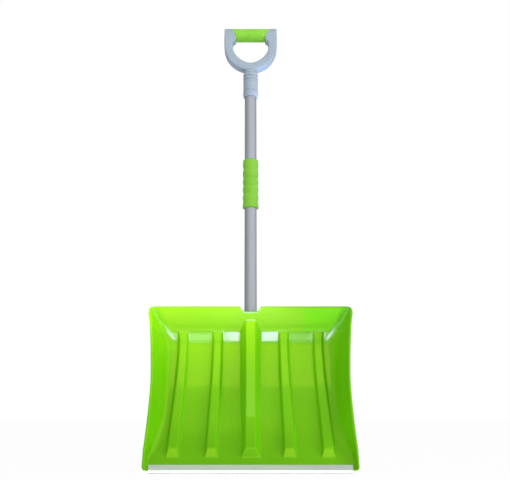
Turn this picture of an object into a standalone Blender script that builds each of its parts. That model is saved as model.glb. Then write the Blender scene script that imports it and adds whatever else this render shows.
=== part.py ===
"""Snow shovel: a wide moulded scoop on a round aluminium shaft with a D-grip.

Frame: the origin is on the ground at the middle of the cutting edge, +Z runs up along the shaft, the scoop
opens towards -Y and +X is the width.  "Forward" below means towards -Y.  Every piece is first modelled about
the shaft's axis, and main() then moves them all back by EDGE_REACH.  Driving dimensions are in metres.
"""
import math

import bmesh
import bpy
from mathutils import Matrix, Vector

GAP = 0.0003                 # air between neighbouring pieces
SLIVER = 0.0002              # least width of a grid column
EDGE_REACH = 0.0697          # how far the cutting edge stands forward of the shaft's axis

# Scoop, as seen from the side: forward reach of its floor against height
BLADE_TOP = 0.373            # height of the top edge
BLADE_END = 0.0070           # height where the moulding ends, inside the wear strip
WALL = 0.0030                # wall of the moulding
FLOOR_BACK = -0.0145         # forward reach of the deepest line of the floor
FLOOR_BACK_LOW = 0.220       # the deepest line spans these two heights
FLOOR_BACK_HIGH = 0.284
SWEEP_R = 0.294              # radius of the lower sweep
SWEEP_END = 0.054            # height where the lower sweep turns straight
FOLD_R = 0.062               # radius of the fold under the top flange
FLANGE_LEAN = math.radians(43.0)
LIP = 0.0045                 # width of the flat lip round the sides and top
# Scoop, as seen from the front
WAIST_HALF = 0.2305          # half width at the waist
WAIST_HEIGHT = 0.205
FLARE_LOW = 0.0085           # how much wider each side gets towards the bottom
FLARE_HIGH = 0.0078          # and towards the top
FLARE_SPAN = 0.155
CORNER_R = 0.014             # top corners
CORNER_LOW = 0.330           # height from which the top corners are rounded
TIP_R = 0.008                # bottom tips of the cheeks
TIP_HIGH = 0.040             # and height below which the tips are
NOTCH_HALF = 0.0165          # half width of the notch's floor in the top edge
NOTCH_SLOPE = 0.0085
NOTCH_DEPTH = 0.0125
NOTCH_LOW = 0.346            # height from which the notch shapes the top edge
# Cheeks
RIM_TOP = 0.0455             # forward reach of the rim: top, waist and bottom
RIM_WAIST = 0.0380
RIM_BOTTOM = 0.0790
CHEEK_FOOT = 0.198           # half width of the floor between the cheeks
CHEEK_BLEND = 0.0080         # softness of the corner between floor and cheek
CHEEK_END = 0.0040           # width that is left of each cheek at the toe and at the top corner
CHEEK_TOE = (0.019, 0.115)   # the cheek narrows to that between these heights at the toe
CHEEK_TOP = 0.275            # and from this height to the top
# Ribs and the raised spine that houses the shaft
SPINE_FACE = 0.0186          # forward reach of the spine's front face
SPINE_FACE_HALF = 0.0112
SPINE_DRAFT_MAX = 0.0128     # widest footprint of each of the spine's side walls
RIB_BOTTOM = 0.0320          # the end ramps of all the ribs rise between these two heights
RIB_RAMP = 0.0540
RIB_TOP = 0.3195
RIB_TOP_RAMP = 0.0050
RIB_TOP_STEP = 0.0016
RIB_SETS = ((0.0790, 0.0875), (0.1610, 0.1745))    # rib centres: at the top, at the bottom
RIB_FACE_HALF = (0.0080, 0.0105)                   # half width of a rib's face: at the top, at the bottom
RIB_HEIGHT = (0.0090, 0.0120)                      # height of a rib: at the top, at the bottom
RIB_DRAFT = 0.43             # width of a side wall per unit of height
SPINE_DRAFT = 0.66
RIB_SPLAY = 1.2              # above 1 the splay starts lower down
CENTRE_RIB_HEIGHT = 0.0156
# Socket behind the spine
SOCKET_R = 0.0174
SOCKET_SHIFT = 0.0010        # the socket's outside is set back by this much
SOCKET_LOW = 0.1180
SOCKET_FLOOR = 0.1222
SOCKET_HIGH = 0.3480
# Shaft
TUBE_R = 0.0150
TUBE_WALL = 0.0015
TUBE_LOW = 0.1260
TUBE_HIGH = 0.9830
PLUG_DEPTH = 0.0140
# Wear strip
STRIP_HALF = 0.2255
STRIP_LEG = 0.0014
STRIP_FRONT_TOP = 0.0175     # height of the front leg's top edge
STRIP_REAR_TOP = 0.0235
STRIP_NOSE = 0.0010          # how far the nose leans forward below its crease
STRIP_SCREWS = 5
STRIP_SCREW_PITCH = 0.0920
# D-grip
BAR_Z = 1.1000
BAR_R = 0.0174
CORE_R = 0.0120
GRIP_HALF = 0.0690
GRIP_DEPTH = 0.0320
GRIP_OUT_Z = 1.0686          # centre height of the outer ellipse
GRIP_OUT_DROP = 0.0722
GRIP_IN_HALF = 0.0467        # the hand opening: half width, and its lower half as a flattened ellipse
GRIP_IN_Z = 1.0585
GRIP_IN_DROP = 0.0434
GRIP_IN_POWER = 1.7
GRIP_EDGE = 0.0026
GRIP_CORNER = 0.0025         # rounding of the arms' top corners
STEM_HALF = 0.0122
SLEEVE_HALF_LOW = 0.0380     # half length of the sleeve underneath, and on top
SLEEVE_HALF_TOP = 0.0530
SLEEVE_BREAK = 1.0920        # height above which the sleeve's ends slant outwards
COLLAR_LOW = 0.9220
COLLAR_HIGH = 0.9910
SOCKET_MOUTH_R = 0.0168      # the socket's lower mouth arches up in front and behind
MOUTH_ARCH = 0.0050
COLLAR_R = 0.0187            # the socket's outside, and its lip and rings
COLLAR_LIP_R = 0.0192
COLLAR_LIP_HIGH = 0.9380
RING_GROOVE_R = 0.0182
RING_LOWS = (0.9700, 0.9788)
RING_SLOPE = 0.0022
RING_FLAT = 0.0043
STEM_LOW = 0.9860
STEM_SPLAY = 0.0060          # the stem's top widens by this much on each side
# Mid-shaft grip
MID_LOW = 0.6240
MID_HIGH = 0.7510
MID_GROOVES = (0.6410, 0.6621, 0.6831, 0.7019, 0.7269)      # heights of the grooves between its rings
MID_R = 0.0196
MID_GROOVE = 0.0019
# Screws
SCREW_R = 0.0020
SCREW_HEAD_R = 0.0042
SCREW_HEAD = 0.0024
BLADE_SCREW_HEIGHTS = {"blade_screw_upper": 0.318, "blade_screw_lower": 0.200}
GRIP_SCREW_HEIGHT = 0.9560

ROUND = 32                   # sides of the round pieces
COLOURS = {                  # linear RGB, roughness, metallic
    "lime_plastic": ((0.14, 0.48, 0.010), 0.25, 0.0),
    "lime_soft": ((0.21, 0.60, 0.030), 0.60, 0.0),
    "grey_plastic": ((0.38, 0.46, 0.58), 0.35, 0.0),
    "anodised_tube": ((0.42, 0.45, 0.50), 0.35, 1.0),
    "bare_aluminium": ((0.72, 0.74, 0.76), 0.30, 1.0),
    "zinc_steel": ((0.55, 0.56, 0.58), 0.35, 1.0),
    "black_plastic": ((0.02, 0.02, 0.02), 0.50, 0.0),
}


# ---------------------------------------------------------------- small helpers

def smooth(edge0, edge1, value):
    """0 below edge0, 1 above edge1, with a soft S between."""
    t = min(1.0, max(0.0, (value - edge0) / (edge1 - edge0)))
    return t * t * (3.0 - 2.0 * t)


def ramp(edge0, edge1, value):
    """0 below edge0, 1 above edge1, straight between."""
    return min(1.0, max(0.0, (value - edge0) / (edge1 - edge0)))


def mix(a, b, t):
    return a + (b - a) * t


def material(slot):
    found = bpy.data.materials.get(slot)
    if found:
        return found
    colour, roughness, metallic = COLOURS[slot]
    made = bpy.data.materials.new(slot)
    made.use_nodes = True
    shader = made.node_tree.nodes["Principled BSDF"]
    shader.inputs["Base Color"].default_value = (*colour, 1.0)
    shader.inputs["Roughness"].default_value = roughness
    shader.inputs["Metallic"].default_value = metallic
    return made


def new_object(name, bm, slot=None):
    """Turns a bmesh into an object; without a slot it is a cutter that the boolean steps use up."""
    bmesh.ops.remove_doubles(bm, verts=bm.verts, dist=1e-6)
    bmesh.ops.recalc_face_normals(bm, faces=bm.faces)
    mesh = bpy.data.meshes.new(name)
    bm.to_mesh(mesh)
    bm.free()
    made = bpy.data.objects.new(name, mesh)
    bpy.context.scene.collection.objects.link(made)
    if slot:
        mesh.materials.append(material(slot))
        mesh.shade_smooth()
        mesh.set_sharp_from_angle(angle=math.radians(32.0))
    else:
        made.hide_render = True
        made.display_type = "WIRE"
    return made


def combine(target, other, operation):
    """Applies one exact boolean to target and removes the other object."""
    modifier = target.modifiers.new("combine", "BOOLEAN")
    modifier.operation = operation
    modifier.solver = "EXACT"
    modifier.object = other
    graph = bpy.context.evaluated_depsgraph_get()
    result = bpy.data.meshes.new_from_object(target.evaluated_get(graph))
    target.modifiers.clear()
    old = target.data
    target.data = result
    bpy.data.meshes.remove(old)
    bpy.data.objects.remove(other)
    result.shade_smooth()
    result.set_sharp_from_angle(angle=math.radians(32.0))


def loft(bm, rings, closed_ends=True):
    """Skins a list of equally long point rings, and caps both ends."""
    rows = [[bm.verts.new(point) for point in ring] for ring in rings]
    count = len(rows[0])
    for low, high in zip(rows, rows[1:]):
        for i in range(count):
            j = (i + 1) % count
            bm.faces.new((low[i], low[j], high[j], high[i]))
    if closed_ends:
        bm.faces.new(list(reversed(rows[0])))
        bm.faces.new(rows[-1])


def ring_z(radius, height, centre_y=0.0, sides=ROUND):
    """Points of a horizontal ring."""
    points = []
    for i in range(sides):
        angle = 2.0 * math.pi * i / sides
        points.append(Vector((radius * math.cos(angle), centre_y + radius * math.sin(angle), height)))
    return points


def turned_z(name, profile, slot=None, centre_y=0.0, sides=ROUND):
    """A solid turned about the shaft's axis from (radius, height) pairs."""
    bm = bmesh.new()
    loft(bm, [ring_z(radius, height, centre_y, sides) for radius, height in profile])
    return new_object(name, bm, slot)


def sleeve_z(name, outer, inner_radius, slot, sides=ROUND):
    """A hollow turned piece: outer is a list of (radius, height) pairs, bottom to top."""
    bm = bmesh.new()
    rings = [ring_z(radius, height, 0.0, sides) for radius, height in outer]
    rings.append(ring_z(inner_radius, outer[-1][1], 0.0, sides))
    rings.append(ring_z(inner_radius, outer[0][1], 0.0, sides))
    rings.append(rings[0])
    loft(bm, rings, closed_ends=False)
    return new_object(name, bm, slot)


def rod(name, start, end, profile, slot=None, sides=16):
    """A solid turned about the line from start to end, from (distance, radius) pairs."""
    start = Vector(start)
    along = (Vector(end) - start).normalized()
    side = along.orthogonal().normalized()
    other = along.cross(side)
    rings = []
    for distance, radius in profile:
        ring = []
        for i in range(sides):
            angle = 2.0 * math.pi * (i + 0.5) / sides
            ring.append(start + along * distance + (side * math.cos(angle) + other * math.sin(angle)) * radius)
        rings.append(ring)
    bm = bmesh.new()
    loft(bm, rings)
    return new_object(name, bm, slot)


def prism(name, outline, low, high, axis, slot=None):
    """Extrudes an outline: (x, z) pairs along Y, or (forward, z) pairs along X."""
    bm = bmesh.new()
    if axis == "Y":
        rings = [[Vector((a, at, b)) for a, b in outline] for at in (low, high)]
    else:
        rings = [[Vector((at, -a, b)) for a, b in outline] for at in (low, high)]
    loft(bm, rings)
    return new_object(name, bm, slot)


def screw(name, seat, direction, length):
    """A pan-head screw whose head rests at seat and whose shank runs along direction."""
    direction = Vector(direction).normalized()
    start = Vector(seat) - direction * (SCREW_HEAD + GAP)
    profile = [
        (0.0, SCREW_HEAD_R * 0.55),
        (SCREW_HEAD * 0.30, SCREW_HEAD_R * 0.88),
        (SCREW_HEAD * 0.70, SCREW_HEAD_R),
        (SCREW_HEAD, SCREW_HEAD_R),
        (SCREW_HEAD, SCREW_R),
        (SCREW_HEAD + length * 0.75, SCREW_R),
        (SCREW_HEAD + length, SCREW_R * 0.35),
    ]
    return rod(name, start, start + direction, profile, "zinc_steel", sides=12)


def screw_hole(seat, direction, length):
    """Cutter for the clearance hole of a screw."""
    direction = Vector(direction).normalized()
    start = Vector(seat) - direction * SCREW_HEAD
    reach = [(0.0, SCREW_R + GAP), (SCREW_HEAD + length, SCREW_R + GAP)]
    return rod("hole_cutter", start, start + direction, reach, sides=12)


# ---------------------------------------------------------------- the scoop's shape

def floor_forward(height):
    """Forward reach of the scoop's floor at a height, away from the ribs and cheeks."""
    if height > BLADE_TOP - LIP:
        height = BLADE_TOP - LIP
    if height > FLOOR_BACK_HIGH:
        rise = height - FLOOR_BACK_HIGH
        fold_rise = FOLD_R * math.sin(FLANGE_LEAN)
        if rise < fold_rise:
            return FLOOR_BACK + FOLD_R - math.sqrt(FOLD_R ** 2 - rise ** 2)
        fold_reach = FOLD_R * (1.0 - math.cos(FLANGE_LEAN))
        return FLOOR_BACK + fold_reach + (rise - fold_rise) * math.tan(FLANGE_LEAN)
    if height > FLOOR_BACK_LOW:
        return FLOOR_BACK
    fall = FLOOR_BACK_LOW - height
    sweep_fall = FLOOR_BACK_LOW - SWEEP_END
    if fall < sweep_fall:
        return FLOOR_BACK + SWEEP_R - math.sqrt(SWEEP_R ** 2 - fall ** 2)
    sweep_reach = SWEEP_R - math.sqrt(SWEEP_R ** 2 - sweep_fall ** 2)
    return FLOOR_BACK + sweep_reach + (fall - sweep_fall) * math.tan(toe_lean())


def toe_lean():
    """Angle of the straight toe of the scoop from the vertical."""
    return math.asin((FLOOR_BACK_LOW - SWEEP_END) / SWEEP_R)


def half_width(height):
    """Half width over the lips at a height."""
    away = height - WAIST_HEIGHT
    if away > 0.0:
        return WAIST_HALF + FLARE_HIGH * (away / FLARE_SPAN) ** 1.7
    return WAIST_HALF + FLARE_LOW * min(1.0, -away / FLARE_SPAN) ** 1.4


def rim_forward(height):
    """Forward reach of the lip along the sides."""
    if height > WAIST_HEIGHT:
        t = (height - WAIST_HEIGHT) / (BLADE_TOP - WAIST_HEIGHT)
        return RIM_WAIST + (RIM_TOP - RIM_WAIST) * t ** 2
    t = (WAIST_HEIGHT - height) / WAIST_HEIGHT
    return RIM_WAIST + (RIM_BOTTOM - RIM_WAIST) * t ** 1.7


def cheek_foot(height):
    """Half width at which the floor turns up into the cheek."""
    edge = half_width(height) - LIP
    widen = edge - CHEEK_END - CHEEK_FOOT
    low = widen * (1.0 - smooth(*CHEEK_TOE, height))
    high = widen * smooth(CHEEK_TOP, BLADE_TOP, height)
    return CHEEK_FOOT + low + high


def hinge(distance, blend):
    """0 well before the corner and rising one to one well after it."""
    return 0.5 * (distance + math.sqrt(distance ** 2 + blend ** 2))


def cheek_rise(x, height):
    """How far the cheek stands forward of the floor."""
    foot = cheek_foot(height)
    edge = half_width(height) - LIP
    blend = min(CHEEK_BLEND, 0.6 * (edge - foot))
    full = max(0.0, rim_forward(height) - floor_forward(height))
    start = hinge(-1.5 * blend, blend)
    rise = (hinge(min(abs(x), edge) - foot, blend) - start) / (hinge(edge - foot, blend) - start)
    return full * max(0.0, rise)


def rib_centre(pair, height):
    """The ribs start upright at the top and splay apart in an S towards the toe."""
    return mix(pair[0], pair[1], (1.0 - smooth(RIB_RAMP, RIB_TOP, height)) ** RIB_SPLAY)


def rib_full(height):
    """Height of a rib between its end ramps."""
    return mix(RIB_HEIGHT[1], RIB_HEIGHT[0], ramp(RIB_RAMP, RIB_TOP, height))


def rib_height(height):
    """A rib's face stays upright where the floor folds forward, so the rib sinks into the fold."""
    sunk = max(0.0, floor_forward(height) - FLOOR_BACK) if height > FLOOR_BACK_HIGH else 0.0
    ends = ramp(RIB_BOTTOM, RIB_RAMP, height) * (1.0 - ramp(RIB_TOP - RIB_TOP_RAMP, RIB_TOP, height))
    return max(RIB_TOP_STEP, rib_full(height) - sunk) * ends


def rib_wall(height):
    """Footprint of each side wall, which shrinks on the end ramps because the draft stays the same."""
    return RIB_DRAFT * rib_height(height) + SLIVER


def rib_face_half(height):
    """Half width of a rib's face, which widens on the end ramps because the foot keeps its width."""
    face = mix(RIB_FACE_HALF[1], RIB_FACE_HALF[0], ramp(RIB_RAMP, RIB_TOP, height))
    return face + RIB_DRAFT * rib_full(height) + SLIVER - rib_wall(height)


def spine_height(height):
    """How far the spine, or the centre rib below it, stands forward of the floor."""
    floor = floor_forward(height)
    rib = CENTRE_RIB_HEIGHT * ramp(RIB_BOTTOM, RIB_RAMP, height)
    if height > FLOOR_BACK_HIGH:
        rib = 0.0
    return max(rib, SPINE_FACE - floor, 0.0)


def spine_wall(height):
    """Footprint of each side wall of the spine."""
    return min(SPINE_DRAFT_MAX, SPINE_DRAFT * spine_height(height)) + SLIVER


def spine_foot(height):
    """Half width of the spine at its foot, which is constant along the bottom ramp."""
    return SPINE_FACE_HALF + spine_wall(max(height, RIB_RAMP))


def spine_face_half(height):
    return spine_foot(height) - spine_wall(height)


def trapezoid(offset, face, wall):
    """1 on a rib's face, 0 outside its walls, straight between."""
    return 1.0 - ramp(face, face + wall, abs(offset))


def blade_forward(x, height):
    """Forward reach of the scoop's front surface."""
    reach = floor_forward(height) + cheek_rise(x, height)
    reach += spine_height(height) * trapezoid(x, spine_face_half(height), spine_wall(height))
    for pair in RIB_SETS:
        offset = abs(x) - rib_centre(pair, height)
        reach += rib_height(height) * trapezoid(offset, rib_face_half(height), rib_wall(height))
    return reach


def half_columns(height):
    """X of each grid column at a height, from the middle to the lip."""
    notched = smooth(RIB_TOP, NOTCH_LOW, height)
    inner = mix(spine_foot(height), NOTCH_HALF, notched)
    columns = [0.0, spine_face_half(height), inner]
    for pair in RIB_SETS:
        centre = rib_centre(pair, height)
        face = rib_face_half(height)
        wall = rib_wall(height)
        between = 0.5 * (inner + centre - face - wall)
        if pair == RIB_SETS[0]:
            between = mix(between, NOTCH_HALF + NOTCH_SLOPE, notched)
        columns.append(between)
        columns += [centre - face - wall, centre - face, centre + face, centre + face + wall]
        inner = columns[-1]
    foot = cheek_foot(height)
    edge = half_width(height) - LIP
    start = mix(inner, foot, 0.55)
    columns.append(start)
    for t in (0.3, 0.55, 0.75, 0.88, 1.0):
        columns.append(mix(start, foot, t))
    for t in (0.12, 0.3, 0.6, 1.0):
        columns.append(mix(foot, edge, t))
    columns.append(edge + 0.6 * LIP)
    columns.append(edge + LIP)
    return columns


def edge_shift(x, height):
    """Lowers grid points at the notch and top corners, and lifts them at the cheek tips."""
    shift = 0.0
    reach = abs(x) - (half_width(height) - CORNER_R)
    if reach > 0.0:
        shift -= smooth(CORNER_LOW, BLADE_TOP, height) * (CORNER_R - math.sqrt(max(0.0, CORNER_R ** 2 - reach ** 2)))
    notch = 1.0 - ramp(NOTCH_HALF, NOTCH_HALF + NOTCH_SLOPE, abs(x))
    shift -= NOTCH_DEPTH * notch * smooth(NOTCH_LOW, BLADE_TOP, height)
    tip = abs(x) - (half_width(height) - TIP_R)
    if tip > 0.0:
        lift = TIP_R - math.sqrt(max(0.0, TIP_R ** 2 - tip ** 2))
        shift += lift * (1.0 - smooth(BLADE_END, TIP_HIGH, height))
    return shift


def blade_rows():
    """Heights of the grid rows, from the toe to the top edge."""
    spans = [(BLADE_END, RIB_BOTTOM, 3), (RIB_BOTTOM, RIB_RAMP, 2), (RIB_RAMP, FLOOR_BACK_LOW, 8),
             (FLOOR_BACK_LOW, FLOOR_BACK_HIGH, 2), (FLOOR_BACK_HIGH, RIB_TOP - RIB_TOP_RAMP, 3),
             (RIB_TOP - RIB_TOP_RAMP, RIB_TOP, 1), (RIB_TOP, NOTCH_LOW, 3), (NOTCH_LOW, BLADE_TOP - LIP, 3)]
    rows = []
    for low, high, count in spans:
        rows += [mix(low, high, i / count) for i in range(count)]
    rows += [BLADE_TOP - LIP, BLADE_TOP]
    return rows


def blade_grid():
    """Rows of (x, forward, height) points of the scoop's front surface, from -X to +X."""
    grid = []
    for height in blade_rows():
        half = half_columns(height)
        row = []
        for x in [-x for x in reversed(half[1:])] + half:
            z = height + edge_shift(x, height)
            row.append(Vector((x, -blade_forward(x, z), z)))
        grid.append(row)
    return grid


def grid_normals(grid):
    """Unit normals of a grid, pointing forward."""
    normals = []
    for r, row in enumerate(grid):
        line = []
        for c in range(len(row)):
            right = row[min(c + 1, len(row) - 1)] - row[max(c - 1, 0)]
            up = grid[min(r + 1, len(grid) - 1)][c] - grid[max(r - 1, 0)][c]
            line.append(right.cross(up).normalized())
        normals.append(line)
    return normals


def blade_sheet():
    """The scoop's wall as a closed sheet of even thickness."""
    front = blade_grid()
    normals = grid_normals(front)
    back = [[p - n * WALL for p, n in zip(row, line)] for row, line in zip(front, normals)]
    bm = bmesh.new()
    front_v = [[bm.verts.new(p) for p in row] for row in front]
    back_v = [[bm.verts.new(p) for p in row] for row in back]
    rows, columns = len(front), len(front[0])
    for r in range(rows - 1):
        for c in range(columns - 1):
            bm.faces.new((front_v[r][c], front_v[r][c + 1], front_v[r + 1][c + 1], front_v[r + 1][c]))
            bm.faces.new((back_v[r][c], back_v[r + 1][c], back_v[r + 1][c + 1], back_v[r][c + 1]))
        for c in (0, columns - 1):
            bm.faces.new((front_v[r][c], front_v[r + 1][c], back_v[r + 1][c], back_v[r][c]))
    for r in (0, rows - 1):
        for c in range(columns - 1):
            bm.faces.new((front_v[r][c], back_v[r][c], back_v[r][c + 1], front_v[r][c + 1]))
    bmesh.ops.triangulate(bm, faces=bm.faces)
    return new_object("blade", bm, "lime_plastic")


# ---------------------------------------------------------------- the pieces

def strip_screw_seats():
    """Seats of the strip's screws on its rear leg, and the direction their shanks run."""
    lean = toe_lean()
    forward = Vector((0.0, -math.cos(lean), math.sin(lean)))
    middle = 0.5 * (STRIP_REAR_TOP + 0.0075)
    depth = -(WALL + GAP + STRIP_LEG)
    seats = []
    for i in range(STRIP_SCREWS):
        x = STRIP_SCREW_PITCH * (i - 0.5 * (STRIP_SCREWS - 1))
        reach, z = strip_point(middle, depth)
        seats.append(Vector((x, -reach, z)))
    return seats, forward


def strip_point(height, depth):
    """(forward, height) of a point on the toe line, moved square to it by depth."""
    lean = toe_lean()
    return (floor_forward(height) + depth * math.cos(lean), height + depth * math.sin(lean))


def make_blade():
    blade = blade_sheet()
    socket = turned_z("socket", [(SOCKET_R, SOCKET_LOW), (SOCKET_R, SOCKET_HIGH)], centre_y=SOCKET_SHIFT)
    combine(blade, socket, "UNION")
    bore = turned_z("bore", [(TUBE_R + GAP, SOCKET_FLOOR), (TUBE_R + GAP, BLADE_TOP + 0.05)])
    combine(blade, bore, "DIFFERENCE")
    for height in BLADE_SCREW_HEIGHTS.values():
        combine(blade, screw_hole(shaft_seat(height, SOCKET_R + SOCKET_SHIFT), (0, -1, 0), 0.006), "DIFFERENCE")
    seats, direction = strip_screw_seats()
    for seat in seats:
        combine(blade, screw_hole(seat, direction, STRIP_LEG + GAP + 0.0022), "DIFFERENCE")
    return blade


def shaft_seat(height, radius):
    """Where a screw head rests on the rear of a socket."""
    return Vector((0.0, radius, height))


def make_strip():
    """Aluminium extrusion: a slot that grips the scoop's toe, two legs and a solid nose."""
    outside = GAP + STRIP_LEG
    rear = WALL + outside
    slot_floor = BLADE_END - 0.0008
    crease = strip_point(BLADE_END, outside)
    rear_foot = strip_point(rear * math.sin(toe_lean()), -rear)
    outline = [
        (crease[0] + STRIP_NOSE, 0.0),
        crease,
        strip_point(STRIP_FRONT_TOP - 0.001, outside),
        strip_point(STRIP_FRONT_TOP, GAP + 0.0004),
        strip_point(STRIP_FRONT_TOP, GAP),
        strip_point(slot_floor, GAP),
        strip_point(slot_floor, -WALL - GAP),
        strip_point(STRIP_REAR_TOP, -WALL - GAP),
        strip_point(STRIP_REAR_TOP, -rear),
        (rear_foot[0], 0.0),
    ]
    strip = prism("wear_strip", outline, -STRIP_HALF, STRIP_HALF, "X", "bare_aluminium")
    seats, direction = strip_screw_seats()
    for seat in seats:
        combine(strip, screw_hole(seat, direction, STRIP_LEG + 0.5 * GAP + 0.001), "DIFFERENCE")
    for i, seat in enumerate(seats):
        screw("strip_screw_%d" % (i + 1), seat, direction, STRIP_LEG + GAP + 0.0020)
    return strip


def make_shaft():
    low, high = TUBE_LOW, TUBE_HIGH
    tube = sleeve_z("shaft_tube", [(TUBE_R, low), (TUBE_R, high)], TUBE_R - TUBE_WALL, "anodised_tube")
    for height in list(BLADE_SCREW_HEIGHTS.values()) + [GRIP_SCREW_HEIGHT]:
        hole = screw_hole(shaft_seat(height, TUBE_R), (0, -1, 0), TUBE_WALL + 0.002)
        combine(tube, hole, "DIFFERENCE")
    inner = TUBE_R - TUBE_WALL - GAP
    plug = [(TUBE_R - 0.0006, SOCKET_FLOOR + GAP), (TUBE_R - 0.0006, low - GAP), (inner, low - GAP),
            (inner, low + PLUG_DEPTH - 0.002), (inner - 0.002, low + PLUG_DEPTH)]
    turned_z("tube_end_plug", plug, "black_plastic")
    for name, height in BLADE_SCREW_HEIGHTS.items():
        screw(name, shaft_seat(height, SOCKET_R + SOCKET_SHIFT), (0, -1, 0), 0.0090)


def make_mid_grip():
    """Soft sleeve with rounded rings and a flared lower end."""
    outer = [(TUBE_R + 0.0022, MID_LOW), (MID_R + 0.0006, MID_LOW + 0.0030)]
    breaks = (MID_LOW,) + MID_GROOVES + (MID_HIGH,)
    steps = 5
    for low, high in zip(breaks, breaks[1:]):
        for i in range(1, steps):
            t = i / steps
            height = mix(low, high, t)
            radius = MID_R - MID_GROOVE + MID_GROOVE * math.sin(math.pi * t) ** 0.8
            if MID_LOW + 0.004 < height < MID_HIGH - 0.003:
                outer.append((radius, height))
        if high < MID_HIGH:
            outer.append((MID_R - MID_GROOVE, high))
    outer += [(MID_R - 0.0012, MID_HIGH - 0.0022), (TUBE_R + 0.0018, MID_HIGH)]
    return sleeve_z("mid_grip", outer, TUBE_R + GAP, "lime_soft", sides=24)


def grip_outline():
    """Outer outline of the D-grip's frame, (x, z) pairs, anticlockwise from the top right."""
    points = [(GRIP_HALF, BAR_Z + 0.002), (GRIP_HALF - 0.003, BAR_Z + 0.006)]
    points += [(-x, z) for x, z in reversed(points)]
    steps = 22
    for i in range(steps + 1):
        angle = math.pi + math.pi * i / steps
        points.append((GRIP_HALF * math.cos(angle), GRIP_OUT_Z + GRIP_OUT_DROP * math.sin(angle)))
    return points


def grip_window():
    """Outline of the hand opening: upright sides, small chamfers under the bar and a flattened lower half."""
    top = BAR_Z - BAR_R
    points = [(GRIP_IN_HALF, top - 0.0015), (GRIP_IN_HALF - 0.0025, top + 0.0025),
              (GRIP_IN_HALF - 0.007, top + 0.0055), (GRIP_IN_HALF - 0.009, BAR_Z)]
    points += [(-x, z) for x, z in reversed(points)]
    steps = 18
    power = 2.0 / GRIP_IN_POWER
    for i in range(steps + 1):
        angle = math.pi * i / steps
        across = -math.copysign(abs(math.cos(angle)) ** power, math.cos(angle))
        points.append((GRIP_IN_HALF * across, GRIP_IN_Z - GRIP_IN_DROP * math.sin(angle) ** power))
    return points


def grip_frame():
    """The D-shaped frame with softened front and rear edges, before the bar and socket are added."""
    bm = bmesh.new()
    half = 0.5 * GRIP_DEPTH
    outer, inner = grip_outline(), grip_window()
    for depth, inset in ((half, GRIP_EDGE), (half - GRIP_EDGE, 0.0)):
        for sign in (-1.0, 1.0):
            for outline, grow in ((outer, -1.0), (inner, 1.0)):
                centre = Vector((0.0, 1.060))
                for x, z in outline:
                    away = Vector((x, z)) - centre
                    moved = centre + away + away.normalized() * inset * grow
                    bm.verts.new((moved.x, sign * depth, moved.y))
    bm.verts.ensure_lookup_table()
    loops = {}
    at = 0
    for level in ("face", "flank"):
        for side in ("front", "rear"):
            for kind, outline in (("out", outer), ("in", inner)):
                loops[level, side, kind] = bm.verts[at:at + len(outline)]
                at += len(outline)
    for kind in ("out", "in"):
        chain = [loops["face", "front", kind], loops["flank", "front", kind],
                 loops["flank", "rear", kind], loops["face", "rear", kind]]
        for a, b in zip(chain, chain[1:]):
            for i in range(len(a)):
                j = (i + 1) % len(a)
                bm.faces.new((a[i], a[j], b[j], b[i]))
    for side in ("front", "rear"):
        edges = []
        for kind in ("out", "in"):
            loop = loops["face", side, kind]
            for i in range(len(loop)):
                edges.append(bm.edges.get((loop[i], loop[(i + 1) % len(loop)])))
        bmesh.ops.triangle_fill(bm, edges=edges, use_beauty=True)
    return new_object("grip_handle", bm, "grey_plastic")


def sleeve_outline(extra):
    """Front view of the sleeve's ends: upright below, slanting outwards above the break."""
    low, top = BAR_Z - 0.030, BAR_Z + 0.030
    rise = top - SLEEVE_BREAK
    slope = (SLEEVE_HALF_TOP - SLEEVE_HALF_LOW) / (BAR_Z + BAR_R - SLEEVE_BREAK)
    right = [(SLEEVE_HALF_LOW + extra, low), (SLEEVE_HALF_LOW + extra, SLEEVE_BREAK),
             (SLEEVE_HALF_LOW + extra + slope * rise, top)]
    return right + [(-x, z) for x, z in reversed(right)]


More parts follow.
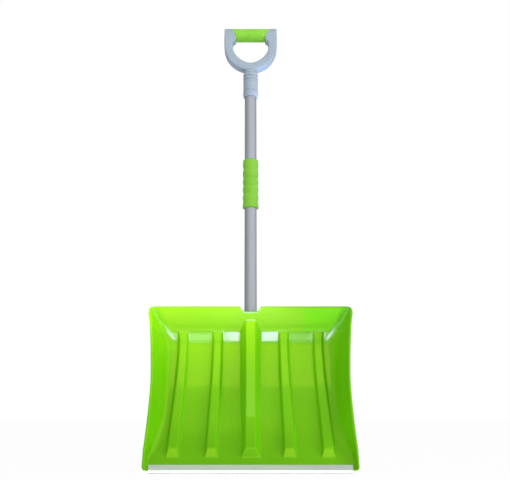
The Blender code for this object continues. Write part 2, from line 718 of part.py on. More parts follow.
def make_grip():
    handle = grip_frame()
    length = 2 * GRIP_HALF - 0.0010
    ends = [(0.0, BAR_R - GRIP_CORNER), (0.3 * GRIP_CORNER, BAR_R - 0.3 * GRIP_CORNER), (GRIP_CORNER, BAR_R)]
    bar_profile = ends + [(length - at, radius) for at, radius in reversed(ends)]
    bar = rod("bar", (-0.5 * length, 0, BAR_Z), (0, 0, BAR_Z), bar_profile, sides=ROUND)
    combine(handle, bar, "UNION")
    room = rod("sleeve_room", (-0.1, 0, BAR_Z), (0, 0, BAR_Z), [(0.0, 0.030), (0.2, 0.030)], sides=ROUND)
    combine(room, prism("room_ends", sleeve_outline(GAP), -0.05, 0.05, "Y"), "INTERSECT")
    core = rod("core", (-0.1, 0, BAR_Z), (0, 0, BAR_Z), [(0.0, CORE_R), (0.2, CORE_R)], sides=24)
    combine(room, core, "DIFFERENCE")
    combine(handle, room, "DIFFERENCE")

    socket = [(SOCKET_MOUTH_R, COLLAR_LOW), (COLLAR_LIP_R - 0.0006, COLLAR_LOW + 0.0035),
              (COLLAR_LIP_R, COLLAR_LOW + 0.0110), (COLLAR_LIP_R - 0.0004, COLLAR_LIP_HIGH),
              (COLLAR_R, COLLAR_LIP_HIGH + 0.0005), (COLLAR_R, RING_LOWS[0] - 0.0015)]
    for low in RING_LOWS:
        ridge = low + RING_SLOPE
        socket += [(RING_GROOVE_R, low), (COLLAR_LIP_R, ridge), (COLLAR_LIP_R, ridge + RING_FLAT)]
    socket += [(RING_GROOVE_R, COLLAR_HIGH - 0.003), (0.0160, COLLAR_HIGH), (0.0130, COLLAR_HIGH + 0.015)]
    combine(handle, turned_z("collar", socket), "UNION")
    arch = [(0.03, COLLAR_LOW - 0.01), (0.03, COLLAR_LOW - 0.006)]
    for i in range(13):
        x = 0.024 * (1.0 - i / 6.0)
        arch.append((x, COLLAR_LOW + MOUTH_ARCH * (1.0 - (x / SOCKET_MOUTH_R) ** 2)))
    arch += [(-0.03, COLLAR_LOW - 0.006), (-0.03, COLLAR_LOW - 0.01)]
    combine(handle, prism("mouth_arch", arch, -0.03, 0.03, "Y"), "DIFFERENCE")
    splay_low = STEM_LOW + 0.010
    splay_high = STEM_LOW + 0.018
    stem = [(-STEM_HALF, STEM_LOW), (STEM_HALF, STEM_LOW), (STEM_HALF, splay_low),
            (STEM_HALF + STEM_SPLAY, splay_high), (-STEM_HALF - STEM_SPLAY, splay_high),
            (-STEM_HALF, splay_low)]
    combine(handle, prism("stem", stem, -STEM_HALF, STEM_HALF, "Y"), "UNION")
    bore = turned_z("bore", [(TUBE_R + GAP, COLLAR_LOW - 0.01), (TUBE_R + GAP, TUBE_HIGH + GAP)])
    combine(handle, bore, "DIFFERENCE")
    seat = shaft_seat(GRIP_SCREW_HEIGHT, COLLAR_R)
    combine(handle, screw_hole(seat, (0, -1, 0), 0.005), "DIFFERENCE")
    screw("grip_screw", seat, (0, -1, 0), 0.0085)

    sleeve = rod("grip_sleeve", (-0.1, 0, BAR_Z), (0, 0, BAR_Z), [(0.0, BAR_R), (0.2, BAR_R)],
                 "lime_soft", sides=ROUND)
    combine(sleeve, prism("sleeve_ends", sleeve_outline(0.0), -0.05, 0.05, "Y"), "INTERSECT")
    core = rod("core", (-0.1, 0, BAR_Z), (0, 0, BAR_Z), [(0.0, CORE_R + GAP), (0.2, CORE_R + GAP)], sides=24)
    combine(sleeve, core, "DIFFERENCE")


def main():
    for old in list(bpy.data.objects):
        bpy.data.objects.remove(old)
    make_blade()
    make_strip()
    make_shaft()
    make_mid_grip()
    make_grip()
    for piece in bpy.data.objects:
        piece.data.transform(Matrix.Translation((0.0, EDGE_REACH, 0.0)))


main()
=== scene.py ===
"""Snow shovel: the fine visual model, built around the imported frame.

Everything is in metres in the frame's own axes: the origin is on the ground at the middle of the cutting
edge, +Z runs up along the shaft, the scoop opens towards -Y ("forward") and +X is the width.  Pieces are
first made about the shaft's axis and then moved to it by SHAFT.
"""

import math

import bmesh
import bpy
from mathutils import Matrix, Vector


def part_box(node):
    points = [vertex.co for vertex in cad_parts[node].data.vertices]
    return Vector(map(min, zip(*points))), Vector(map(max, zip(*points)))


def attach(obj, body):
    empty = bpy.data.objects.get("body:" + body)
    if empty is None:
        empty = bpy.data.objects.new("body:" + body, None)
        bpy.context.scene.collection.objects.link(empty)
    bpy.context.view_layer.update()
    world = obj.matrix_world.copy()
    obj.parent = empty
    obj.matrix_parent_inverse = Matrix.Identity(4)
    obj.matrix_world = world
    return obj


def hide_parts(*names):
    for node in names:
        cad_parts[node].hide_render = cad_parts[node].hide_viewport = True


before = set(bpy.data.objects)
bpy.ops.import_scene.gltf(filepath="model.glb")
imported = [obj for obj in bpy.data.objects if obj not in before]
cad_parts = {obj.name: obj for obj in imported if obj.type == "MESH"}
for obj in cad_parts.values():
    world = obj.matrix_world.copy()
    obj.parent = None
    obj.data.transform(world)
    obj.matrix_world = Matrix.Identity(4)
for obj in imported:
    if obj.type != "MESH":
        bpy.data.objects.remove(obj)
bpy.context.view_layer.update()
TUBE_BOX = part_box("shaft_tube")
SHAFT = Vector((0.0, 0.5 * (TUBE_BOX[0].y + TUBE_BOX[1].y), 0.0))

GAP = 0.0003                 # air between neighbouring pieces

# Scoop, as seen from the side: forward reach of its floor against height
BLADE_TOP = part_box("blade")[1].z
BLADE_END = 0.0070           # height where the moulding ends, inside the wear strip
WALL = 0.0030
FLOOR_BACK = -0.0145         # forward reach of the deepest line of the floor
FLOOR_BACK_LOW = 0.220       # the deepest line spans these two heights
FLOOR_BACK_HIGH = 0.284
SWEEP_R = 0.294              # radius of the lower sweep
SWEEP_END = 0.054            # height where the lower sweep turns straight
FOLD_R = 0.062               # radius of the fold under the top flange
FLANGE_LEAN = math.radians(43.0)
LIP = 0.0045                 # width of the lip round the sides and top
ROW_PITCH = 0.004            # largest spacing of the coarse grid rows
TOE_ROWS = (0.012, 0.020)    # extra rows near the toe
# Scoop, as seen from the front
WAIST_HALF = 0.2305
WAIST_HEIGHT = 0.205
FLARE_LOW = 0.0085
FLARE_HIGH = 0.0078
FLARE_SPAN = 0.155
CORNER_R = 0.014             # top corners, which are rounded from CORNER_LOW up
CORNER_LOW = 0.330
TIP_R = 0.008                # bottom tips of the cheeks, which are rounded up to TIP_HIGH
TIP_HIGH = 0.040
NOTCH_HALF = 0.0165
NOTCH_SLOPE = 0.0085
NOTCH_DEPTH = 0.0125
NOTCH_LOW = 0.346            # the notch pulls the grid down from this height up
# Cheeks
RIM_TOP = 0.0455
RIM_WAIST = 0.0380
RIM_BOTTOM = 0.0790
CHEEK_FOOT = 0.198
CHEEK_BLEND = 0.0100         # softness of the corner between floor and cheek
CHEEK_FOLD_BLEND = 0.0160    # and in the fold, where it grows and eases between these heights
FOLD_BLEND_GROWS = (0.240, 0.295)
FOLD_BLEND_EASES = (0.318, 0.340)
CHEEK_END = 0.0040           # width that is left of each cheek at the toe and at the top corner
CHEEK_TOE = (0.019, 0.115)   # the cheek narrows to that between these heights at the toe
CHEEK_TOP = 0.275            # and from this height to the top
# Ribs and spine
SPINE_FACE = 0.0186
SPINE_FACE_HALF = 0.0112
SPINE_DRAFT_MAX = 0.0128     # widest footprint of each of the spine's side walls
SPINE_LOW = 0.1198           # the spine's upright face spans these two heights
SPINE_TOP = 0.3439
RIB_BOTTOM = 0.0320          # the ribs' lower end ramps rise between these two heights
RIB_RAMP = 0.0540
RIB_TOP = 0.3195
RIB_TOP_RAMP = 0.0020
RIB_TOP_STEP = 0.0010        # least height of a rib, at its top end
RIB_TOP_LEAN = 0.10          # how far a rib's face leans forward in the fold, per unit of height
RIB_SETS = ((0.0790, 0.0875), (0.1610, 0.1745))    # rib centres: at the top, at the bottom
RIB_FACE_HALF = (0.0080, 0.0105)                   # half width of a rib's face, likewise
RIB_HEIGHT = (0.0090, 0.0120)
RIB_DRAFT = 0.43             # width of a side wall per unit of height
SPINE_DRAFT = 0.66
SLIVER = 0.0002              # least width of a wall
RIB_SPLAY = 1.2
CENTRE_RIB_HEIGHT = 0.0156
EDGE_SOFT = 0.0009           # half width of the rounding on the ribs' edges
RAMP_SOFT = 0.0008           # and on the edges of their end ramps
ROUNDING_ROWS = (-0.0012, -0.0006, 0.0006, 0.0012)    # extra rows beside each rounded edge
LIP_ROUND = 0.0007           # how far the side lips' outer edges roll back
TOP_ROUND = 0.0006           # and the top edge, over its last TOP_ROUND_SPAN
TOP_ROUND_SPAN = 0.0015
# Socket and shaft
SOCKET_R = 0.0174
SOCKET_SHIFT = 0.0010
SOCKET_LOW = 0.1180
SOCKET_FLOOR = 0.1222
SOCKET_HIGH = 0.3480
TUBE_R = TUBE_BOX[1].x
TUBE_WALL = 0.0015
TUBE_LOW = TUBE_BOX[0].z
TUBE_HIGH = TUBE_BOX[1].z
# Wear strip
STRIP_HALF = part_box("wear_strip")[1].x
STRIP_LEG = 0.0014
STRIP_FRONT_TOP = 0.0175
STRIP_REAR_TOP = 0.0235
STRIP_NOSE = 0.0010
# D-grip
BAR_Z = 1.1000
BAR_R = 0.0174
CORE_R = 0.0120
GRIP_HALF = 0.0690
GRIP_DEPTH = 0.0320
GRIP_OUT_Z = 1.0686
GRIP_OUT_DROP = 0.0725
GRIP_OUT_POWER = 2.06        # the outside is a little squarer than an ellipse
GRIP_IN_HALF = 0.0467
GRIP_IN_Z = 1.0585
GRIP_IN_DROP = 0.0434
GRIP_IN_POWER = 1.7
GRIP_EDGE = 0.0026
GRIP_CORNER = 0.0025
GRIP_CROWN = 0.0009          # how far the frame's faces bulge
STEM_HALF = 0.0122
SLEEVE_HALF_LOW = 0.0380
SLEEVE_HALF_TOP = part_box("grip_sleeve")[1].x
SLEEVE_BREAK = 1.0920
SLEEVE_RIBS = 13
SLEEVE_GROOVE = 0.0007
STEM_LOW = 0.9860            # the stem splays between the next two heights
STEM_SPLAY = (0.9950, 1.0050)
STEM_SPREAD = 0.0060
HANDLE_VOXEL = 0.0009        # voxels that fuse the grip's frame, bar and stem
COLLAR_LOW = 0.9220
COLLAR_HIGH = 0.9910
COLLAR_RINGS = ((0.9700, 0.9782), (0.9792, 0.9874))    # where each of its rings starts and ends
SOCKET_MOUTH_R = 0.0168
COLLAR_R = 0.0187
COLLAR_LIP_R = 0.0192
RING_GROOVE_R = 0.0171
MOUTH_ARCH = 0.0012
# Mid-shaft grip
MID_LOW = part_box("mid_grip")[0].z
MID_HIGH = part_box("mid_grip")[1].z
MID_GROOVES = (0.6410, 0.6621, 0.6831, 0.7019, 0.7269)
MID_R = 0.0196
MID_GROOVE = 0.0022
# Screws
SCREW_HEAD = 0.0024
SCREW_R = 0.0020

SMOOTH_ANGLE = math.radians(34.0)


# ---------------------------------------------------------------- small helpers

def smooth(edge0, edge1, value):
    """0 below edge0, 1 above edge1, with a soft S between."""
    t = min(1.0, max(0.0, (value - edge0) / (edge1 - edge0)))
    return t * t * (3.0 - 2.0 * t)


def ramp(edge0, edge1, value):
    return min(1.0, max(0.0, (value - edge0) / (edge1 - edge0)))


def mix(a, b, t):
    return a + (b - a) * t


def soft_max(a, b, k):
    """The larger of two values, with a rounded corner k wide where they meet."""
    h = max(k - abs(a - b), 0.0) / k
    return max(a, b) + 0.25 * h * h * k


def soft_clamp(t, k):
    """Clamps t to 0..1 with rounded shoulders."""
    if k <= 0.0:
        return min(1.0, max(0.0, t))
    return -soft_max(-soft_max(t, 0.0, k), -1.0, k)


def new_object(name, bm):
    bmesh.ops.remove_doubles(bm, verts=bm.verts, dist=1e-7)
    bmesh.ops.recalc_face_normals(bm, faces=bm.faces)
    mesh = bpy.data.meshes.new(name)
    bm.to_mesh(mesh)
    bm.free()
    made = bpy.data.objects.new(name, mesh)
    bpy.context.scene.collection.objects.link(made)
    shade(made)
    return made


def shade(target, angle=SMOOTH_ANGLE):
    target.data.shade_smooth()
    target.data.set_sharp_from_angle(angle=angle)


def bake_modifiers(target):
    """Replaces the object's mesh with what its modifiers make of it."""
    graph = bpy.context.evaluated_depsgraph_get()
    result = bpy.data.meshes.new_from_object(target.evaluated_get(graph))
    target.modifiers.clear()
    old = target.data
    target.data = result
    bpy.data.meshes.remove(old)
    shade(target)


def combine(target, other, operation):
    modifier = target.modifiers.new("combine", "BOOLEAN")
    modifier.operation = operation
    modifier.solver = "EXACT"
    modifier.object = other
    bake_modifiers(target)
    bpy.data.objects.remove(other)


def loft(bm, rings, closed_ends=True, wrap=False):
    """Skins equally long point rings; caps both ends, or wraps the last ring to the first."""
    rows = [[bm.verts.new(point) for point in ring] for ring in rings]
    count = len(rows[0])
    pairs = list(zip(rows, rows[1:]))
    if wrap:
        pairs.append((rows[-1], rows[0]))
    for low, high in pairs:
        for i in range(count):
            j = (i + 1) % count
            bm.faces.new((low[i], low[j], high[j], high[i]))
    if closed_ends and not wrap:
        bm.faces.new(list(reversed(rows[0])))
        bm.faces.new(rows[-1])


def turned(name, profile, start=(0, 0, 0), along=(0, 0, 1), sides=96, wrap=False):
    """A body turned about a line, from (radius, distance) pairs; a wrapped profile leaves a hollow."""
    along = Vector(along).normalized()
    side = along.orthogonal().normalized()
    other = along.cross(side)
    rings = []
    for radius, distance in profile:
        ring = []
        for i in range(sides):
            angle = 2.0 * math.pi * i / sides
            out = side * math.cos(angle) + other * math.sin(angle)
            ring.append(Vector(start) + along * distance + out * radius)
        rings.append(ring)
    bm = bmesh.new()
    loft(bm, rings, wrap=wrap)
    return new_object(name, bm)


def prism_y(name, outline, half):
    """Extrudes an (x, z) outline along Y."""
    bm = bmesh.new()
    loft(bm, [[Vector((x, at, z)) for x, z in outline] for at in (-half, half)])
    return new_object(name, bm)


# ---------------------------------------------------------------- materials

class Nodes:
    """A node tree, with short ways to add to it."""

    def __init__(self, tree):
        self.tree = tree

    def node(self, kind, **settings):
        made = self.tree.nodes.new(kind)
        for key, value in settings.items():
            setattr(made, key, value)
        return made

    def feed(self, socket, value):
        if isinstance(value, bpy.types.NodeSocket):
            self.tree.links.new(value, socket)
        else:
            socket.default_value = value

    def span(self, value, low, high, to_low=0.0, to_high=1.0, kind="LINEAR"):
        """Maps value from low..high to to_low..to_high, clamped."""
        made = self.node("ShaderNodeMapRange", interpolation_type=kind)
        self.feed(made.inputs["Value"], value)
        for key, number in (("From Min", low), ("From Max", high), ("To Min", to_low), ("To Max", to_high)):
            made.inputs[key].default_value = number
        return made.outputs["Result"]

    def math(self, operation, a, b=0.0):
        made = self.node("ShaderNodeMath", operation=operation)
        self.feed(made.inputs[0], a)
        self.feed(made.inputs[1], b)
        return made.outputs[0]


class Finish(Nodes):
    """A node-based material on a Principled shader, with textures placed in metres."""

    def __init__(self, name):
        self.material = bpy.data.materials.new(name)
        self.material.use_nodes = True
        super().__init__(self.material.node_tree)
        self.shader = self.tree.nodes["Principled BSDF"]
        self.place = self.node("ShaderNodeTexCoord").outputs["Object"]

    def noise(self, scale, detail=3.0, stretch=(1.0, 1.0, 1.0), roughness=0.55):
        """Noise with so many cells per metre, stretched by the given factors."""
        mapping = self.node("ShaderNodeMapping")
        self.feed(mapping.inputs["Vector"], self.place)
        mapping.inputs["Scale"].default_value = stretch
        made = self.node("ShaderNodeTexNoise")
        self.feed(made.inputs["Vector"], mapping.outputs["Vector"])
        made.inputs["Scale"].default_value = scale
        made.inputs["Detail"].default_value = detail
        made.inputs["Roughness"].default_value = roughness
        return made.outputs["Fac"]

    def blend(self, a, b, factor):
        """Mixes two colours."""
        made = self.node("ShaderNodeMix", data_type="RGBA")
        self.feed(made.inputs[0], factor)
        self.feed(made.inputs[6], (*a, 1.0) if isinstance(a, tuple) else a)
        self.feed(made.inputs[7], (*b, 1.0) if isinstance(b, tuple) else b)
        return made.outputs[2]

    def axis(self, name):
        made = self.node("ShaderNodeSeparateXYZ")
        self.feed(made.inputs[0], self.place)
        return made.outputs[name]

    def bump(self, height, distance, strength=1.0, under=None):
        made = self.node("ShaderNodeBump")
        made.inputs["Strength"].default_value = strength
        made.inputs["Distance"].default_value = distance
        self.feed(made.inputs["Height"], height)
        if under:
            self.feed(made.inputs["Normal"], under)
        return made.outputs["Normal"]

    def set(self, **values):
        names = {"colour": "Base Color", "tint": "Specular Tint", "specular": "Specular IOR Level",
                 "coat": "Coat Weight", "sheen": "Sheen Weight"}
        for key, value in values.items():
            socket = self.shader.inputs[names.get(key, key.replace("_", " ").title())]
            self.feed(socket, (*value, 1.0) if isinstance(value, tuple) else value)
        return self.material


def upper_crease(f):
    """1 along the crease between each cheek and the top flange, 0 away from it."""
    crease = f.span(f.axis("Z"), FLOOR_BACK_HIGH, BLADE_TOP, CHEEK_FOOT, WAIST_HALF)
    beside = f.math("ABSOLUTE", f.math("SUBTRACT", f.math("ABSOLUTE", f.axis("X")), crease))
    return f.math("MULTIPLY", f.span(beside, 0.009, 0.020, 1.0, 0.0), f.span(f.axis("Z"), 0.305, 0.326))


def scoop_plastic():
    """Glossy lime polypropylene: faint clouds, mould grain, scuffs near the toe and duller upper creases."""
    f = Finish("lime_scoop_plastic")
    cloud = f.span(f.noise(7.0, 2.0), 0.35, 0.65)
    colour = f.blend((0.099, 0.358, 0.0014), (0.109, 0.383, 0.0020), cloud)
    scuff = f.span(f.noise(230.0, 4.0, (1.0, 1.0, 0.055)), 0.60, 0.72)
    toe = f.span(f.axis("Z"), 0.015, 0.16, 0.5, 0.06)
    worn = f.math("MULTIPLY", scuff, toe)
    colour = f.blend(colour, (0.20, 0.50, 0.05), f.math("MULTIPLY", worn, 0.25))
    rough = f.span(f.noise(42.0, 3.0), 0.3, 0.7, 0.10, 0.14)
    rough = f.math("ADD", rough, f.math("MULTIPLY", worn, 0.22))
    dull = upper_crease(f)
    rough = f.math("ADD", rough, f.math("MULTIPLY", dull, 0.30))
    shine = f.span(dull, 0.0, 1.0, 1.0, 0.25)
    grain = f.bump(f.noise(1500.0, 2.0), 0.00002, 0.15)
    waves = f.bump(f.noise(16.0, 1.0), 0.0003, 0.10, grain)
    return f.set(colour=colour, roughness=rough, normal=waves, specular=shine, tint=(1.0, 1.0, 0.15),
                 coat=0.05, coat_roughness=0.36)


def soft_lime(name="lime_soft_grip", gain=1.0):
    """Matt lime elastomer with a speckled, powdery surface; gain lightens it."""
    f = Finish(name)
    cloud = f.span(f.noise(28.0, 3.0), 0.35, 0.65)
    low, high = (tuple(gain * c for c in tone) for tone in ((0.265, 0.680, 0.052), (0.295, 0.730, 0.064)))
    colour = f.blend(low, high, cloud)
    speck = f.span(f.noise(1300.0, 2.0), 0.50, 0.72)
    colour = f.blend(colour, (0.30, 0.64, 0.12), f.math("MULTIPLY", speck, 0.25))
    rough = f.span(f.noise(120.0, 2.0), 0.3, 0.7, 0.52, 0.66)
    grain = f.bump(f.noise(1800.0, 3.0), 0.00006, 0.6)
    return f.set(colour=colour, roughness=rough, normal=grain, sheen=0.15, sheen_roughness=0.4, specular=0.35)


def grip_plastic():
    """Blue-grey satin plastic with a fine spark-eroded grain."""
    f = Finish("grey_grip_plastic")
    cloud = f.span(f.noise(20.0, 3.0), 0.35, 0.65)
    colour = f.blend((0.420, 0.505, 0.605), (0.455, 0.545, 0.650), cloud)
    fleck = f.span(f.noise(2200.0, 1.0), 0.58, 0.75)
    colour = f.blend(colour, (0.52, 0.60, 0.70), f.math("MULTIPLY", fleck, 0.3))
    rough = f.span(f.noise(55.0, 3.0), 0.3, 0.7, 0.36, 0.46)
    grain = f.bump(f.noise(1700.0, 3.0), 0.00005, 0.45)
    return f.set(colour=colour, roughness=rough, normal=grain, specular=0.5)


def anodised_tube():
    """Drawn and anodised aluminium: fine lines along the shaft and a few soft rub marks."""
    f = Finish("anodised_tube")
    lines = f.noise(1400.0, 3.0, (1.0, 1.0, 0.006))
    cloud = f.noise(24.0, 3.0, (1.0, 1.0, 0.35))
    colour = f.blend((0.53, 0.57, 0.64), (0.60, 0.64, 0.69), f.span(lines, 0.3, 0.7))
    rub = f.span(f.noise(60.0, 4.0, (1.0, 1.0, 0.25)), 0.60, 0.75)
    colour = f.blend(colour, (0.60, 0.63, 0.66), f.math("MULTIPLY", rub, 0.3))
    rough = f.math("ADD", f.span(cloud, 0.3, 0.7, 0.27, 0.34), f.span(lines, 0.3, 0.7, -0.04, 0.04))
    return f.set(colour=colour, roughness=rough, metallic=0.75,
                 normal=f.bump(lines, 0.00002, 0.35), anisotropic=0.4)


def bare_aluminium():
    """Mill-finish extrusion: lines along its length and scattered scratches."""
    f = Finish("bare_aluminium")
    lines = f.noise(1100.0, 3.0, (0.010, 1.0, 1.0))
    colour = f.blend((0.82, 0.87, 0.85), (0.92, 0.95, 0.94), f.span(lines, 0.3, 0.7))
    scratch = f.span(f.noise(420.0, 3.0, (0.22, 1.0, 1.0)), 0.62, 0.70)
    colour = f.blend(colour, (0.88, 0.90, 0.92), f.math("MULTIPLY", scratch, 0.5))
    rough = f.math("ADD", f.span(lines, 0.3, 0.7, 0.26, 0.36), f.math("MULTIPLY", scratch, 0.1))
    return f.set(colour=colour, roughness=rough, metallic=0.85, normal=f.bump(lines, 0.00003, 0.4))


def zinc_steel():
    """Zinc plating: small spangles and dull patches."""
    f = Finish("zinc_steel")
    spangle = f.noise(900.0, 3.0)
    colour = f.blend((0.50, 0.52, 0.54), (0.66, 0.67, 0.68), f.span(spangle, 0.35, 0.65))
    rough = f.span(f.noise(350.0, 3.0), 0.3, 0.7, 0.26, 0.46)
    return f.set(colour=colour, roughness=rough, metallic=1.0, normal=f.bump(spangle, 0.00002, 0.3))


def black_plastic():
    f = Finish("black_plug_plastic")
    cloud = f.span(f.noise(60.0, 3.0), 0.35, 0.65)
    colour = f.blend((0.016, 0.016, 0.017), (0.028, 0.028, 0.030), cloud)
    rough = f.span(f.noise(300.0, 2.0), 0.3, 0.7, 0.42, 0.58)
    return f.set(colour=colour, roughness=rough, normal=f.bump(f.noise(1500.0, 2.0), 0.00004, 0.5))


def finish_piece(piece, material, slot, *nodes):
    """Gives a piece its material, moves it onto the shaft, hangs it under the root body and hides the CAD
    nodes it stands for.
    """
    piece.data.transform(Matrix.Translation(SHAFT))
    piece.data.materials.clear()
    piece.data.materials.append(material)
    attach(piece, "root")
    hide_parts(*nodes)
    return piece


# ---------------------------------------------------------------- the scoop

def floor_forward(height):
    """Forward reach of the scoop's floor at a height, away from the ribs and cheeks."""
    height = min(height, BLADE_TOP - LIP)
    if height > FLOOR_BACK_HIGH:
        rise = height - FLOOR_BACK_HIGH
        fold_rise = FOLD_R * math.sin(FLANGE_LEAN)
        if rise < fold_rise:
            return FLOOR_BACK + FOLD_R - math.sqrt(FOLD_R ** 2 - rise ** 2)
        fold_reach = FOLD_R * (1.0 - math.cos(FLANGE_LEAN))
        return FLOOR_BACK + fold_reach + (rise - fold_rise) * math.tan(FLANGE_LEAN)
    if height > FLOOR_BACK_LOW:
        return FLOOR_BACK
    fall = FLOOR_BACK_LOW - height
    sweep_fall = FLOOR_BACK_LOW - SWEEP_END
    if fall < sweep_fall:
        return FLOOR_BACK + SWEEP_R - math.sqrt(SWEEP_R ** 2 - fall ** 2)
    sweep_reach = SWEEP_R - math.sqrt(SWEEP_R ** 2 - sweep_fall ** 2)
    return FLOOR_BACK + sweep_reach + (fall - sweep_fall) * math.tan(toe_lean())


def toe_lean():
    return math.asin((FLOOR_BACK_LOW - SWEEP_END) / SWEEP_R)


def half_width(height):
    away = height - WAIST_HEIGHT
    if away > 0.0:
        return WAIST_HALF + FLARE_HIGH * (away / FLARE_SPAN) ** 1.7
    return WAIST_HALF + FLARE_LOW * min(1.0, -away / FLARE_SPAN) ** 1.4


def rim_forward(height):
    if height > WAIST_HEIGHT:
        t = (height - WAIST_HEIGHT) / (BLADE_TOP - WAIST_HEIGHT)
        return RIM_WAIST + (RIM_TOP - RIM_WAIST) * t ** 2
    t = (WAIST_HEIGHT - height) / WAIST_HEIGHT
    return RIM_WAIST + (RIM_BOTTOM - RIM_WAIST) * t ** 1.7


def cheek_foot(height):
    edge = half_width(height) - LIP
    widen = edge - CHEEK_END - CHEEK_FOOT
    low = widen * (1.0 - smooth(*CHEEK_TOE, height))
    high = widen * smooth(CHEEK_TOP, BLADE_TOP, height)
    return CHEEK_FOOT + low + high


def hinge(distance, blend):
    return 0.5 * (distance + math.sqrt(distance ** 2 + blend ** 2))


def cheek_rise(x, height, soft):
    foot = cheek_foot(height)
    edge = half_width(height) - LIP
    swell = smooth(*FOLD_BLEND_GROWS, height) * (1.0 - smooth(*FOLD_BLEND_EASES, height))
    blend = mix(min(CHEEK_BLEND, 0.6 * (edge - foot)), CHEEK_FOLD_BLEND, swell)
    full = max(0.0, rim_forward(height) - floor_forward(height))
    start = hinge(-1.5 * blend, blend)
    reach = min(abs(x), edge)
    if soft:
        reach = -soft_max(-abs(x), -edge, 2.0 * EDGE_SOFT)
    rise = (hinge(reach - foot, blend) - start) / (hinge(edge - foot, blend) - start)
    roll = LIP_ROUND * ramp(edge + 0.55 * LIP, edge + LIP, abs(x)) ** 2 if soft else 0.0
    return full * max(0.0, rise) - roll * min(1.0, full / 0.004)


def rib_centre(pair, height):
    return mix(pair[0], pair[1], (1.0 - smooth(RIB_RAMP, RIB_TOP, height)) ** RIB_SPLAY)


def rib_size(sizes, height):
    """A rib's size at a height, from its sizes at the top and at the bottom."""
    return mix(sizes[1], sizes[0], ramp(RIB_RAMP, RIB_TOP, height))


def end_ramp(height, soft):
    length = RIB_RAMP - RIB_BOTTOM
    return soft_clamp((height - RIB_BOTTOM) / length, 2.0 * RAMP_SOFT / length if soft else 0.0)


def top_ramp(height, soft):
    return soft_clamp((RIB_TOP - height) / RIB_TOP_RAMP, 2.0 * RAMP_SOFT / RIB_TOP_RAMP if soft else 0.0)


def rib_height(height, soft):
    """A rib's face stays nearly upright where the floor folds forward, so the rib sinks into the fold."""
    rise = max(0.0, height - FLOOR_BACK_HIGH)
    sunk = max(0.0, floor_forward(height) - FLOOR_BACK - RIB_TOP_LEAN * rise) if rise else 0.0
    full = max(RIB_TOP_STEP, rib_size(RIB_HEIGHT, height) - sunk)
    return full * end_ramp(height, soft) * top_ramp(height, soft)


def rib_wall(height):
    """Footprint of a side wall, which shrinks on the end ramps because the draft stays the same."""
    return RIB_DRAFT * rib_height(height, False) + SLIVER


def rib_face(height):
    """Half width of a rib's face, which widens on the end ramps because the foot keeps its width."""
    foot = rib_size(RIB_FACE_HALF, height) + RIB_DRAFT * rib_size(RIB_HEIGHT, height) + SLIVER
    return foot - rib_wall(height)


def spine_height(height, soft):
    floor = floor_forward(height)
    rib = CENTRE_RIB_HEIGHT * end_ramp(height, soft)
    if height > FLOOR_BACK_HIGH:
        rib = 0.0
    if soft:
        return soft_max(soft_max(rib, SPINE_FACE - floor, 0.0016), 0.0, 0.0012)
    return max(rib, SPINE_FACE - floor, 0.0)


def spine_wall(height):
    return min(SPINE_DRAFT_MAX, SPINE_DRAFT * spine_height(height, False)) + SLIVER


def spine_foot(height):
    return SPINE_FACE_HALF + spine_wall(max(height, RIB_RAMP))


def plateau(offset, face, wall, soft):
    """1 on a raised face, 0 outside its walls, with rounded edges if soft."""
    rounding = min(0.9, 2.0 * EDGE_SOFT / wall) if soft else 0.0
    return soft_clamp((face + wall - abs(offset)) / wall, rounding)


def blade_forward(x, height, soft):
    """Forward reach of the scoop's front surface."""
    reach = floor_forward(height) + cheek_rise(x, height, soft)
    wall = spine_wall(height)
    reach += spine_height(height, soft) * plateau(x, spine_foot(height) - wall, wall, soft)
    for pair in RIB_SETS:
        offset = abs(x) - rib_centre(pair, height)
        reach += rib_height(height, soft) * plateau(offset, rib_face(height), rib_wall(height), soft)
    return reach


# How the coarse grid's columns are divided, as fractions of each interval
WALL_STEPS = (0.0, 0.12, 0.25, 0.5, 0.75, 0.88)
FACE_STEPS = (0.0, 0.03, 0.06, 0.13, 0.5, 0.87, 0.94, 0.97)
AFTER_STEPS = (0.0, 0.03, 0.07, 0.2, 0.6)
BEFORE_STEPS = (0.0, 0.4, 0.8, 0.93, 0.97)
HALVES = (0.0, 0.5)


def half_columns(height):
    """X of each coarse grid column at a height, from the middle to the lip."""
    notched = smooth(RIB_TOP, NOTCH_LOW, height)
    inner = mix(spine_foot(height), NOTCH_HALF, notched)
    columns = [0.0, spine_foot(height) - spine_wall(height), inner]
    face = rib_face(height)
    wall = rib_wall(height)
    for pair in RIB_SETS:
        centre = rib_centre(pair, height)
        between = 0.5 * (inner + centre - face - wall)
        if pair == RIB_SETS[0]:
            between = mix(between, NOTCH_HALF + NOTCH_SLOPE, notched)
        columns += [between, centre - face - wall, centre - face, centre + face, centre + face + wall]
        inner = columns[-1]
    foot = cheek_foot(height)
    edge = half_width(height) - LIP
    start = mix(inner, foot, 0.55)
    columns.append(start)
    for t in (0.3, 0.55, 0.75, 0.88, 1.0):
        columns.append(mix(start, foot, t))
    for t in (0.12, 0.3, 0.6, 1.0):
        columns.append(mix(foot, edge, t))
    return columns + [edge + 0.6 * LIP, edge + LIP]


def column_steps():
    """How each coarse column interval is divided, as fractions."""
    rib = [AFTER_STEPS, BEFORE_STEPS, WALL_STEPS, FACE_STEPS, WALL_STEPS]
    steps = [(0.0, 0.4, 0.75, 0.86, 0.93, 0.97), (0.0, 0.04, 0.09, 0.3, 0.6, 0.85, 0.92, 0.96)]
    steps += rib + rib + [AFTER_STEPS] + [HALVES] * 5 + [HALVES] * 3
    return steps + [(0.0, 0.5, 0.8, 0.92, 0.97), (0.0, 0.12, 0.3, 0.6), (0.0, 0.4, 0.75)]


